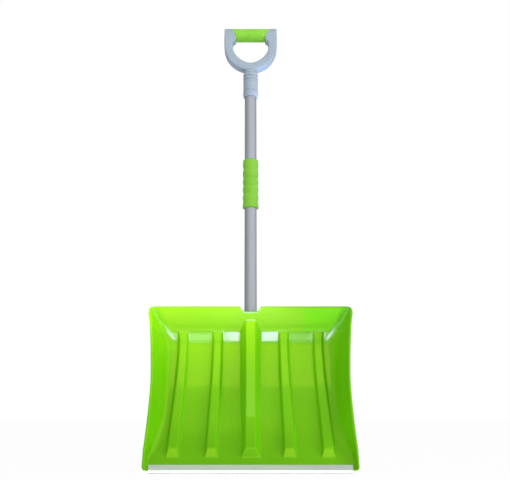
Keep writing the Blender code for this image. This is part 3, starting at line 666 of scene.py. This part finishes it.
def edge_shift(x, height):
    """Lowers grid points at the notch and top corners, and lifts them at the cheek tips."""
    shift = 0.0
    reach = abs(x) - (half_width(height) - CORNER_R)
    if reach > 0.0:
        drop = CORNER_R - math.sqrt(max(0.0, CORNER_R ** 2 - reach ** 2))
        shift -= drop * smooth(CORNER_LOW, BLADE_TOP, height)
    notch = 1.0 - ramp(NOTCH_HALF, NOTCH_HALF + NOTCH_SLOPE, abs(x))
    shift -= NOTCH_DEPTH * notch * smooth(NOTCH_LOW, BLADE_TOP, height)
    tip = abs(x) - (half_width(height) - TIP_R)
    if tip > 0.0:
        lift = TIP_R - math.sqrt(max(0.0, TIP_R ** 2 - tip ** 2))
        shift += lift * (1.0 - smooth(BLADE_END, TIP_HIGH, height))
    return shift


def coarse_rows():
    """Heights of the coarse rows: every break in the shape, and at most ROW_PITCH apart."""
    breaks = [BLADE_END, *TOE_ROWS, RIB_BOTTOM, RIB_RAMP, SPINE_LOW, FLOOR_BACK_LOW, FLOOR_BACK_HIGH,
              RIB_TOP - RIB_TOP_RAMP, RIB_TOP, SPINE_TOP, BLADE_TOP - LIP, BLADE_TOP]
    rows = []
    for low, high in zip(breaks, breaks[1:]):
        count = max(1, math.ceil((high - low) / ROW_PITCH))
        rows += [mix(low, high, i / count) for i in range(count)]
    return rows + [BLADE_TOP]


def row_steps(rows):
    """How each coarse row interval is divided: extra rows where an edge is rounded."""
    edges = [RIB_BOTTOM, RIB_RAMP, SPINE_LOW, RIB_TOP - RIB_TOP_RAMP, RIB_TOP, SPINE_TOP, BLADE_TOP - LIP]
    extra = [edge + away for edge in edges for away in ROUNDING_ROWS]
    extra += [BLADE_TOP - 0.0012, BLADE_TOP - 0.0005]
    steps = []
    for low, high in zip(rows, rows[1:]):
        inside = sorted((h - low) / (high - low) for h in extra if low + 1e-5 < h < high - 1e-5)
        steps.append([0.0] + inside)
    return steps


def sheet_point(x, height, soft):
    z = height + edge_shift(x, height)
    roll = TOP_ROUND * ramp(BLADE_TOP - TOP_ROUND_SPAN, BLADE_TOP, height) ** 2 if soft else 0.0
    return Vector((x, -blade_forward(x, z, soft) + roll, z))


def mirrored(half):
    return [-x for x in reversed(half[1:])] + half


def grid_normals(grid):
    normals = []
    for r, row in enumerate(grid):
        line = []
        for c in range(len(row)):
            right = row[min(c + 1, len(row) - 1)] - row[max(c - 1, 0)]
            up = grid[min(r + 1, len(grid) - 1)][c] - grid[max(r - 1, 0)][c]
            line.append(right.cross(up).normalized())
        normals.append(line)
    return normals


def spread(values, steps):
    """Fills in the values between coarse neighbours at the fine fractions."""
    fine = []
    for a, b, parts in zip(values, values[1:], steps):
        fine += [mix(a, b, t) for t in parts]
    return fine + [values[-1]]


def mirrored_steps(steps):
    back = []
    for parts in reversed(steps):
        back.append([0.0] + sorted(1.0 - t for t in parts if t > 0.0))
    return back + [list(parts) for parts in steps]


def blade_sheet():
    """The scoop's wall as a closed sheet: a finely rounded front and an evenly offset back."""
    rows = coarse_rows()
    steps = row_steps(rows)
    across = column_steps()
    front = []
    for height in spread(rows, steps):
        xs = mirrored(spread(half_columns(height), across))
        front.append([sheet_point(x, height, True) for x in xs])

    plain = [[sheet_point(x, height, False) for x in mirrored(half_columns(height))] for height in rows]
    inner = [[p - n * WALL for p, n in zip(row, line)] for row, line in zip(plain, grid_normals(plain))]
    wide = [spread(row, mirrored_steps(across)) for row in inner]
    columns = [spread(list(column), steps) for column in zip(*wide)]
    back = [list(row) for row in zip(*columns)]

    bm = bmesh.new()
    front_v = [[bm.verts.new(p) for p in row] for row in front]
    back_v = [[bm.verts.new(p) for p in row] for row in back]
    count, width = len(front), len(front[0])
    for r in range(count - 1):
        for c in range(width - 1):
            bm.faces.new((front_v[r][c], front_v[r][c + 1], front_v[r + 1][c + 1], front_v[r + 1][c]))
            bm.faces.new((back_v[r][c], back_v[r + 1][c], back_v[r + 1][c + 1], back_v[r][c + 1]))
        for c in (0, width - 1):
            bm.faces.new((front_v[r][c], front_v[r + 1][c], back_v[r + 1][c], back_v[r][c]))
    for r in (0, count - 1):
        for c in range(width - 1):
            bm.faces.new((front_v[r][c], back_v[r][c], back_v[r][c + 1], front_v[r][c + 1]))
    return new_object("scoop", bm)


def make_scoop(material):
    scoop = blade_sheet()
    edge = 0.0008
    outside = [(SOCKET_R - edge, SOCKET_LOW), (SOCKET_R, SOCKET_LOW + edge),
               (SOCKET_R, SOCKET_HIGH - edge), (SOCKET_R - edge, SOCKET_HIGH)]
    combine(scoop, turned("socket", outside, (0, SOCKET_SHIFT, 0)), "UNION")
    bore = [(TUBE_R + GAP, SOCKET_FLOOR), (TUBE_R + GAP, BLADE_TOP + 0.05)]
    combine(scoop, turned("bore", bore), "DIFFERENCE")
    return finish_piece(scoop, material, "blade_plastic", "blade")


# ---------------------------------------------------------------- wear strip

def strip_point(height, depth):
    """(forward, height) of a point on the toe line, moved square to it by depth."""
    lean = toe_lean()
    return (floor_forward(height) + depth * math.cos(lean), height + depth * math.sin(lean))


def make_strip(material):
    """The extrusion's outline, carried along X, with rounded edges and flat ends."""
    outside = GAP + STRIP_LEG
    rear = WALL + outside
    slot_floor = BLADE_END - 0.0008
    crease = strip_point(BLADE_END, outside)
    rear_foot = strip_point(rear * math.sin(toe_lean()), -rear)
    nose = (crease[0] + STRIP_NOSE, 0.0)
    outline = [
        (nose[0] - 0.0010, 0.0),
        (nose[0] - 0.0003, 0.0003),
        (nose[0], 0.0010),
        (crease[0] + 0.00045, crease[1] - 0.0006),
        (crease[0] + 0.0001, crease[1] - 0.0001),
        (crease[0] - 0.0005, crease[1] + 0.0003),
        strip_point(STRIP_FRONT_TOP - 0.0008, outside),
        strip_point(STRIP_FRONT_TOP - 0.0002, outside - 0.0003),
        strip_point(STRIP_FRONT_TOP, GAP + 0.0004),
        strip_point(STRIP_FRONT_TOP, GAP),
        strip_point(slot_floor, GAP),
        strip_point(slot_floor, -WALL - GAP),
        strip_point(STRIP_REAR_TOP, -WALL - GAP),
        strip_point(STRIP_REAR_TOP, -rear + 0.0004),
        strip_point(STRIP_REAR_TOP - 0.0004, -rear),
        (rear_foot[0], 0.0005),
        (rear_foot[0] + 0.0005, 0.0),
    ]
    bm = bmesh.new()
    stations = 24
    rings = []
    for i in range(stations + 1):
        x = mix(-STRIP_HALF, STRIP_HALF, i / stations)
        rings.append([Vector((x, -reach, z)) for reach, z in outline])
    loft(bm, rings)
    strip = new_object("toe_strip", bm)
    return finish_piece(strip, material, "strip_aluminium", "wear_strip")


# ---------------------------------------------------------------- shaft and screws

def make_tube(material):
    edge = 0.0003
    inner = TUBE_R - TUBE_WALL
    profile = [(inner, TUBE_LOW), (TUBE_R - edge, TUBE_LOW), (TUBE_R, TUBE_LOW + edge)]
    bays = 40
    profile += [(TUBE_R, mix(TUBE_LOW + edge, TUBE_HIGH - edge, i / bays)) for i in range(1, bays)]
    profile += [(TUBE_R, TUBE_HIGH - edge), (TUBE_R - edge, TUBE_HIGH), (inner, TUBE_HIGH)]
    tube = turned("shaft", profile, sides=128, wrap=True)
    return finish_piece(tube, material, "shaft_aluminium", "shaft_tube")


def make_screw(node, material, direction):
    """A pan-head screw with a cross recess, in the CAD screw's place."""
    low, high = (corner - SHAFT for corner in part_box(node))
    along = Vector(direction).normalized()
    size = high - low
    radius = 0.5 * size.x
    middle = 0.5 * (low + high)
    across = Vector((0.0, -along.z, along.y))
    # a leaning screw's box is longer than the screw, because its wide head tips over the high end
    length = size.y * abs(along.y) + size.z * abs(along.z) - 2.0 * radius * abs(along.y * along.z)
    start = middle - along * (0.5 * length)
    profile = [(radius * 0.30, 0.0), (radius * 0.62, 0.05 * SCREW_HEAD), (radius * 0.86, 0.24 * SCREW_HEAD),
               (radius, 0.62 * SCREW_HEAD), (radius, SCREW_HEAD), (SCREW_R, SCREW_HEAD),
               (SCREW_R, length * 0.8), (SCREW_R * 0.35, length)]
    body = turned(node + "_fine", profile, start, along, sides=40)
    for turn in (0.0, 0.5 * math.pi):
        slot_side = Vector((1, 0, 0)) * math.cos(turn) + across * math.sin(turn)
        slot_other = along.cross(slot_side)
        ring = [(-0.55, -0.11), (0.55, -0.11), (0.55, 0.11), (-0.55, 0.11)]
        rings = []
        for depth, shrink in ((-0.0005, 1.0), (0.0013, 0.55)):
            points = []
            for a, b in ring:
                points.append(start + along * depth + (slot_side * a + slot_other * b) * radius * shrink)
            rings.append(points)
        bm = bmesh.new()
        loft(bm, rings)
        combine(body, new_object("recess", bm), "DIFFERENCE")
    return finish_piece(body, material, "zinc_steel", node)


def make_screws(material):
    for node in ("blade_screw_upper", "blade_screw_lower", "grip_screw"):
        make_screw(node, material, (0, -1, 0))
    lean = toe_lean()
    for node in sorted(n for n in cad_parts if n.startswith("strip_screw")):
        make_screw(node, material, (0.0, -math.cos(lean), math.sin(lean)))


# ---------------------------------------------------------------- soft grips

def make_mid_grip(material):
    """Soft sleeve with six rounded rings, a rolled top edge and a flared lower end."""
    inner = TUBE_R + GAP
    flare = MID_R + 0.0006
    outer = [(inner, MID_LOW), (TUBE_R + 0.0016, MID_LOW), (flare - 0.0010, MID_LOW + 0.0006),
             (flare - 0.0002, MID_LOW + 0.0016), (flare, MID_LOW + 0.0030)]
    breaks = (MID_LOW,) + MID_GROOVES + (MID_HIGH,)
    steps = 14
    for low, high in zip(breaks, breaks[1:]):
        for i in range(steps):
            height = mix(low, high, i / steps)
            if MID_LOW + 0.005 < height < MID_HIGH - 0.0026:
                bulge = math.sin(math.pi * i / steps) ** 0.65
                outer.append((MID_R - MID_GROOVE * (1.0 - bulge), height))
    outer += [(MID_R - 0.0008, MID_HIGH - 0.0020), (MID_R - 0.0018, MID_HIGH - 0.0008),
              (TUBE_R + 0.0016, MID_HIGH), (inner, MID_HIGH)]
    grip = turned("shaft_sleeve", outer, sides=96, wrap=True)
    return finish_piece(grip, material, "soft_grip", "mid_grip")


def sleeve_end(z):
    """Half length of the crossbar sleeve at a height: upright below, slanting outwards above in a soft S."""
    top = BAR_Z + BAR_R
    t = ramp(SLEEVE_BREAK - 0.003, top, z)
    return SLEEVE_HALF_LOW + (SLEEVE_HALF_TOP - SLEEVE_HALF_LOW) * (0.55 * t + 0.45 * smooth(0.0, 1.0, t))


def make_bar_sleeve(material):
    """Crossbar sleeve with fine ribs round it."""
    pitch = 2.0 * SLEEVE_HALF_LOW / SLEEVE_RIBS
    straight = SLEEVE_HALF_LOW - pitch
    count = int(straight / pitch * 6)
    columns = [("fixed", straight * i / count) for i in range(count)]
    columns += [("end", i / 36) for i in range(37)]
    sides = 112
    rings = []
    for sign in (-1.0, 1.0):
        chosen = list(reversed(columns[1:])) if sign < 0.0 else columns
        for kind, value in chosen:
            ring = []
            for i in range(sides):
                angle = 2.0 * math.pi * i / sides
                end = sleeve_end(BAR_Z + BAR_R * math.sin(angle))
                x = value if kind == "fixed" else mix(straight, end, value)
                phase = math.cos(2.0 * math.pi * x / pitch)
                rolled = 0.0007 * ramp(end - 0.0012, end, x) ** 2
                radius = BAR_R - SLEEVE_GROOVE * (0.5 + 0.5 * phase) ** 2.0 - rolled
                ring.append(Vector((sign * x, radius * math.cos(angle), BAR_Z + radius * math.sin(angle))))
            rings.append(ring)
    hollow = []
    for outside in (rings[-1], rings[0]):
        ring = []
        for i, point in enumerate(outside):
            angle = 2.0 * math.pi * i / sides
            reach = CORE_R + GAP
            x = math.copysign(sleeve_end(BAR_Z + reach * math.sin(angle)), point.x)
            ring.append(Vector((x, reach * math.cos(angle), BAR_Z + reach * math.sin(angle))))
        hollow.append(ring)
    bm = bmesh.new()
    loft(bm, rings + hollow, wrap=True)
    sleeve = new_object("crossbar_sleeve", bm)
    return finish_piece(sleeve, material, "soft_grip", "grip_sleeve")


# ---------------------------------------------------------------- D-grip

def grip_stations():
    """Outer and inner points of the D's frame, from the left shoulder round the bottom to the right one."""
    top = BAR_Z - BAR_R
    left = [((-GRIP_HALF + 0.0030, BAR_Z + 0.0055), (-0.0370, BAR_Z + 0.0040)),
            ((-GRIP_HALF + 0.0006, BAR_Z + 0.0010), (-0.0380, BAR_Z - 0.0060)),
            ((-GRIP_HALF, BAR_Z - 0.0060), (-0.0378, top + 0.0020)),
            ((-GRIP_HALF, BAR_Z - 0.0110), (-0.0388, top - 0.0004)),
            ((-GRIP_HALF, BAR_Z - 0.0160), (-0.0428, top - 0.0034)),
            ((-GRIP_HALF, BAR_Z - 0.0210), (-GRIP_IN_HALF + 0.0010, top - 0.0068)),
            ((-GRIP_HALF, BAR_Z - 0.0260), (-GRIP_IN_HALF, top - 0.0120))]
    steps = 64
    power = 2.0 / GRIP_IN_POWER
    ring = []
    for i in range(steps + 1):
        angle = math.pi * i / steps
        side = -math.copysign(1.0, math.cos(angle))
        across = side * abs(math.cos(angle)) ** power
        square = 2.0 / GRIP_OUT_POWER
        outer = (GRIP_HALF * side * abs(math.cos(angle)) ** square,
                 GRIP_OUT_Z - GRIP_OUT_DROP * math.sin(angle) ** square)
        inner = (GRIP_IN_HALF * across, GRIP_IN_Z - GRIP_IN_DROP * math.sin(angle) ** power)
        ring.append((outer, inner))
    right = [((-o[0], o[1]), (-i[0], i[1])) for o, i in reversed(left)]
    return left + ring + right


def section(outer, inner):
    """Closed cross-section between two points of the D: soft corners and slightly crowned faces."""
    a, b = Vector((outer[0], 0.0, outer[1])), Vector((inner[0], 0.0, inner[1]))
    width = (b - a).length
    along = (b - a) / width
    depth = 0.5 * GRIP_DEPTH
    round_steps = 5
    face_steps = 8
    quarter = []
    for i in range(round_steps + 1):
        turn = 0.5 * math.pi * i / round_steps
        quarter.append((GRIP_EDGE * (1.0 - math.cos(turn)), depth - GRIP_EDGE * (1.0 - math.sin(turn))))
    half = list(quarter)
    for i in range(1, face_steps):
        half.append((mix(GRIP_EDGE, width - GRIP_EDGE, i / face_steps), depth))
    half += [(width - u, d) for u, d in reversed(quarter)]
    crowned = []
    for u, d in half:
        s = 2.0 * u / width - 1.0
        crowned.append((u, d - GRIP_CROWN * s * s * (d / depth)))
    points = [a + along * u + Vector((0.0, -d, 0.0)) for u, d in crowned]
    points += [a + along * u + Vector((0.0, d, 0.0)) for u, d in reversed(crowned)]
    return points


def bar_profile():
    """Crossbar with rounded ends, as (radius, distance) pairs."""
    end = GRIP_HALF - 0.0005
    half = []
    steps = 6
    for i in range(steps + 1):
        turn = 0.5 * math.pi * i / steps
        inset = GRIP_CORNER * (1.0 - math.sin(turn))
        half.append((BAR_R - GRIP_CORNER * (1.0 - math.cos(turn)), end - inset))
    return [(radius, -distance) for radius, distance in reversed(half)] + half


def room_outline():
    """Front view of the room that the sleeve sits in."""
    right = []
    low, top = BAR_Z - 0.030, BAR_Z + 0.030
    steps = 40
    for i in range(steps + 1):
        z = mix(low, top, i / steps)
        right.append((sleeve_end(z) + GAP, z))
    return right + [(-x, z) for x, z in reversed(right)]


def ridge(low, high):
    """Profile points of one rounded ridge on the socket, between the grooves beside it."""
    points = []
    steps = 10
    for i in range(steps + 1):
        t = 2.0 * i / steps - 1.0
        bulge = (1.0 - abs(t) ** 2.6) ** (1.0 / 2.6)
        points.append((mix(RING_GROOVE_R, COLLAR_LIP_R, bulge), mix(low, high, i / steps)))
    return points


def collar_profile():
    """Socket of the D-grip, from its lower lip to the rings under the stem."""
    lip = COLLAR_LIP_R
    profile = [(SOCKET_MOUTH_R, COLLAR_LOW), (SOCKET_MOUTH_R + 0.0012, COLLAR_LOW + 0.0006),
               (lip - 0.0006, COLLAR_LOW + 0.0030), (lip - 0.0001, COLLAR_LOW + 0.0070),
               (lip, COLLAR_LOW + 0.0110), (lip - 0.0002, COLLAR_LOW + 0.0150),
               (COLLAR_R - 0.0011, COLLAR_LOW + 0.0163), (COLLAR_R - 0.0011, COLLAR_LOW + 0.0170),
               (COLLAR_R, COLLAR_LOW + 0.0178), (COLLAR_R, 0.9680), (RING_GROOVE_R, 0.9690)]
    for low, high in COLLAR_RINGS:
        profile += ridge(low, high)
    profile += [(RING_GROOVE_R - 0.0012, 0.9890), (0.0162, COLLAR_HIGH + 0.0010), (0.0130, 1.0060)]
    return profile


def make_handle(material):
    bm = bmesh.new()
    loft(bm, [section(outer, inner) for outer, inner in grip_stations()])
    handle = new_object("handle_frame", bm)
    combine(handle, turned("bar", bar_profile(), (0, 0, BAR_Z), (1, 0, 0)), "UNION")
    splay_low, splay_high = STEM_SPLAY
    stem = [(STEM_HALF, STEM_LOW), (STEM_HALF, splay_low), (STEM_HALF + STEM_SPREAD, splay_high)]
    stem += [(-x, z) for x, z in reversed(stem)]
    combine(handle, prism_y("stem", stem, STEM_HALF), "UNION")
    remesh = handle.modifiers.new("even", "REMESH")
    remesh.mode = "VOXEL"
    remesh.voxel_size = HANDLE_VOXEL
    soften = handle.modifiers.new("soften", "SMOOTH")
    soften.factor = 0.5
    soften.iterations = 5
    bake_modifiers(handle)

    room = turned("room", [(0.030, -0.1), (0.030, 0.1)], (0, 0, BAR_Z), (1, 0, 0))
    combine(room, prism_y("room_ends", room_outline(), 0.05), "INTERSECT")
    core = turned("core", [(CORE_R, -0.1), (CORE_R, 0.1)], (0, 0, BAR_Z), (1, 0, 0), sides=64)
    combine(room, core, "DIFFERENCE")
    combine(handle, room, "DIFFERENCE")

    combine(handle, turned("collar", collar_profile()), "UNION")
    arch = [(0.030, COLLAR_LOW - 0.010), (0.030, COLLAR_LOW - 0.006)]
    for i in range(25):
        x = 0.024 * (1.0 - i / 12.0)
        arch.append((x, COLLAR_LOW + MOUTH_ARCH * (1.0 - (x / SOCKET_MOUTH_R) ** 2)))
    arch += [(-0.030, COLLAR_LOW - 0.006), (-0.030, COLLAR_LOW - 0.010)]
    combine(handle, prism_y("mouth_arch", arch, 0.03), "DIFFERENCE")
    bore = [(TUBE_R + GAP, COLLAR_LOW - 0.010), (TUBE_R + GAP, TUBE_HIGH + GAP)]
    combine(handle, turned("bore", bore), "DIFFERENCE")
    return finish_piece(handle, material, "grip_plastic", "grip_handle")


# ---------------------------------------------------------------- floor, light and camera

FLOOR_HALF = 14.0
CAMERA_AT = (0.0, -1.714, 0.129)
CAMERA_PITCH = math.radians(103.6)
CAMERA_LENS = 50.5
CAMERA_SHIFT = 0.0086
WORLD_HORIZON = 0.64         # brightness of the studio round the object, by elevation
WORLD_LOW = 0.80
WORLD_HIGH = 0.72
WORLD_TOP = 0.45
WORLD_BACK = 0.45            # behind the object
WORLD_LEFT = 0.55            # share of that brightness on the far left
# Cards lying under the fold, which sees them in reflections: x span, y span, radiance and colour
FOLD_CARD_HEIGHT = 0.07
FOLD_CARDS = {
    "fold_middle": ((-0.070, 0.090), (-0.66, -0.135), 62.0, (0.108, 0.075, 1.0)),
    "fold_left": ((-0.34, -0.070), (-1.30, -0.145), 5.6, (0.18, 0.21, 1.0)),
    "fold_left_core": ((-0.30, -0.070), (-0.50, -0.20), 5.6, (0.18, 0.21, 1.0)),
    "fold_right": ((0.090, 0.34), (-1.30, -0.145), 2.4, (0.20, 0.25, 1.0)),
    "fold_right_core": ((0.090, 0.30), (-0.50, -0.20), 2.4, (0.20, 0.25, 1.0)),
    "fold_far_right": ((0.178, 0.222), (-0.45, -0.155), 26.0, (0.14, 0.08, 1.0)),
}
# Cards lying just above the floor, likewise
FLOOR_CARD_HEIGHT = 0.004
FLANGE_CARDS = {
    "flange_glow": ((-0.35, 0.35), (-0.15, -0.02), 1.4, (1.0, 1.0, 0.6)),
    "flange_right": ((0.15, 0.35), (-0.15, -0.02), 2.4, (0.2, 1.0, 0.05)),
}


def make_floor():
    bm = bmesh.new()
    bmesh.ops.create_grid(bm, x_segments=8, y_segments=8, size=FLOOR_HALF)
    floor = new_object("floor", bm)
    f = Finish("pale_floor")
    shade_noise = f.span(f.noise(2.0, 2.0), 0.3, 0.7)
    f.set(colour=f.blend((0.86, 0.86, 0.86), (0.88, 0.88, 0.88), shade_noise), roughness=0.85)
    glow = f.node("ShaderNodeEmission")
    glow.inputs["Color"].default_value = (1.0, 1.0, 1.0, 1.0)
    glow.inputs["Strength"].default_value = 1.0
    path = f.node("ShaderNodeLightPath")
    share = f.math("MULTIPLY", path.outputs["Is Camera Ray"], 0.97)
    both = f.node("ShaderNodeMixShader")
    f.feed(both.inputs[0], share)
    f.feed(both.inputs[1], f.shader.outputs["BSDF"])
    f.feed(both.inputs[2], glow.outputs["Emission"])
    output = f.tree.nodes["Material Output"]
    f.tree.links.new(both.outputs[0], output.inputs["Surface"])
    floor.data.materials.append(f.material)


def make_world():
    """Pale studio, brightest low in front; the camera itself sees pure white behind the object."""
    world = bpy.data.worlds.new("studio")
    world.use_nodes = True
    bpy.context.scene.world = world
    sky = Nodes(world.node_tree)
    split = sky.node("ShaderNodeSeparateXYZ")
    sky.feed(split.inputs[0], sky.node("ShaderNodeTexCoord").outputs["Generated"])
    side, depth, up = (split.outputs[axis] for axis in "XYZ")

    def turn(value, low, high, to_low, to_high):
        return sky.span(value, low, high, to_low, to_high, "SMOOTHSTEP")

    front = turn(up, 0.04, 0.16, WORLD_HORIZON, WORLD_LOW)
    front = sky.math("ADD", front, turn(up, 0.32, 0.46, 0.0, WORLD_HIGH - WORLD_LOW))
    front = sky.math("ADD", front, turn(up, 0.72, 0.86, 0.0, WORLD_TOP - WORLD_HIGH))
    level = sky.math("MULTIPLY", turn(depth, -0.1, 0.1, 0.0, 1.0), turn(up, 0.72, 0.86, 1.0, 0.0))
    strength = sky.math("ADD", front, sky.math("MULTIPLY", level, sky.math("SUBTRACT", WORLD_BACK, front)))
    strength = sky.math("MULTIPLY", strength, turn(side, -0.9, -0.2, WORLD_LEFT, 1.0))
    seen = sky.node("ShaderNodeMix", data_type="FLOAT")
    sky.feed(seen.inputs[0], sky.node("ShaderNodeLightPath").outputs["Is Camera Ray"])
    sky.feed(seen.inputs[2], strength)
    seen.inputs[3].default_value = 1.0
    background = sky.tree.nodes["Background"]
    background.inputs["Color"].default_value = (1.0, 1.0, 1.0, 1.0)
    sky.feed(background.inputs["Strength"], seen.outputs[0])


def area_light(name, at, target, size, energy, colour=(1.0, 1.0, 1.0)):
    data = bpy.data.lights.new(name, "AREA")
    data.shape = "RECTANGLE"
    data.size, data.size_y = size
    data.energy = energy
    data.color = colour
    light = bpy.data.objects.new(name, data)
    bpy.context.scene.collection.objects.link(light)
    light.location = Vector(at) + SHAFT
    light.rotation_euler = (Vector(target) - Vector(at)).to_track_quat("-Z", "Y").to_euler()
    light.visible_camera = False
    return light


def link_to(light, piece):
    """Makes a lamp light one piece only."""
    name = piece.name + "_only"
    group = bpy.data.collections.get(name)
    if not group:
        group = bpy.data.collections.new(name)
        group.objects.link(piece)
    light.light_linking.receiver_collection = group


def scoop_lamp(scoop, only, *settings):
    """A lamp for the scoop alone, seen either only in reflections or only as soft light."""
    light = area_light(*settings)
    link_to(light, scoop)
    light.visible_diffuse = only == "soft"
    light.visible_glossy = only == "reflection"


def flat_card(scoop, only, name, across, along, height, radiance, colour):
    """A glowing card lying flat and facing up, for the scoop alone."""
    width, length = across[1] - across[0], along[1] - along[0]
    middle = (0.5 * (across[0] + across[1]), 0.5 * (along[0] + along[1]), height)
    above = (middle[0], middle[1] + 1e-4, height + 1.0)
    energy = radiance * math.pi * width * length
    scoop_lamp(scoop, only, name, middle, above, (width, length), energy, colour)


def make_keys():
    """Soft lamps for everything, which no surface mirrors."""
    keys = [area_light("key_right", (1.6, -1.2, 0.35), (0.0, 0.0, 0.15), (0.6, 0.6), 5.5),
            area_light("side_right", (2.2, -0.3, 0.4), (0.0, 0.0, 0.3), (0.8, 0.8), 2.7),
            area_light("front_right", (1.6, -1.8, 1.5), (0.0, 0.0, 0.6), (0.9, 0.9), 8.2),
            area_light("front_left", (-1.6, -1.8, 1.5), (0.0, 0.0, 0.6), (0.9, 0.9), 6.0),
            area_light("top_front", (0.2, -1.6, 2.4), (0.0, 0.0, 0.7), (1.2, 0.8), 2.5)]
    for light in keys:
        light.visible_glossy = False


def light_scoop(scoop):
    """Cards that the glossy scoop reflects, and soft fills for its cheeks, floor, fold and rim."""
    scoop_lamp(scoop, "reflection", "front_card", (0.0, -2.3, 0.3765), (0.0, 0.0, 0.3765), (2.4, 0.753), 5.0,
               (1.0, 1.0, 0.4))
    for name, (across, along, radiance, colour) in FOLD_CARDS.items():
        flat_card(scoop, "reflection", name, across, along, FOLD_CARD_HEIGHT, radiance, colour)
    for name, (across, along, radiance, colour) in FLANGE_CARDS.items():
        flat_card(scoop, "reflection", name, across, along, FLOOR_CARD_HEIGHT, radiance, colour)
    flat_card(scoop, "soft", "floor_wash", (-0.7, 0.7), (-0.9, -0.12), FLOOR_CARD_HEIGHT, 1.5,
              (0.5, 1.0, 0.3))
    scoop_lamp(scoop, "soft", "fold_soft", (-0.15, -0.13, 0.36), (-0.15, 0.0, 0.36), (0.46, 0.03), 0.72,
               (1.0, 0.56, 0.15))
    scoop_lamp(scoop, "soft", "right_fill", (2.2, -0.8, 0.25), (0.0, 0.0, 0.2), (0.5, 0.5), 26.0)
    scoop_lamp(scoop, "soft", "left_fill", (-2.2, -0.8, 0.25), (0.0, 0.0, 0.2), (0.5, 0.5), 3.0)
    scoop_lamp(scoop, "soft", "rim", (0.0, 0.9, 1.4), (0.0, 0.0, 0.35), (1.2, 0.4), 22.0)


def light_strip(strip):
    """A low card in front for the strip's nose, and a high one for its upper face."""
    low = area_light("toe_card", (0.0, -1.1, 0.12), (0.0, 0.0, 0.01), (1.6, 0.12), 6.3)
    high = area_light("strip_sky", (0.0, -0.62, 1.15), (0.0, -0.07, 0.01), (1.6, 0.6), 0.42, (0.9, 0.92, 1.0))
    for light in (low, high):
        link_to(light, strip)


def light_handle(handle):
    """Bluish light on the underside of the D-grip."""
    under = area_light("grip_under", (0.12, 0.0, 0.58), (0.0, 0.0, 1.03), (0.3, 0.1), 1.6, (0.45, 0.68, 1.0))
    link_to(under, handle)
    under.visible_glossy = False


def make_camera():
    data = bpy.data.cameras.new("camera")
    data.lens = CAMERA_LENS
    data.sensor_width = 36.0
    data.shift_x = CAMERA_SHIFT
    camera = bpy.data.objects.new("camera", data)
    bpy.context.scene.collection.objects.link(camera)
    camera.location = Vector(CAMERA_AT) + SHAFT
    camera.rotation_euler = (CAMERA_PITCH, 0.0, 0.0)
    bpy.context.scene.camera = camera


def main():
    lime, soft = scoop_plastic(), soft_lime()
    scoop = make_scoop(lime)
    strip = make_strip(bare_aluminium())
    make_tube(anodised_tube())
    make_mid_grip(soft)
    make_bar_sleeve(soft_lime("lime_crossbar_grip", 1.22))
    handle = make_handle(grip_plastic())
    make_screws(zinc_steel())
    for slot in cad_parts["tube_end_plug"].material_slots:
        slot.material = black_plastic()
    make_floor()
    make_world()
    make_keys()
    light_scoop(scoop)
    light_strip(strip)
    light_handle(handle)
    make_camera()
    bpy.context.scene.view_settings.view_transform = "Standard"


main()
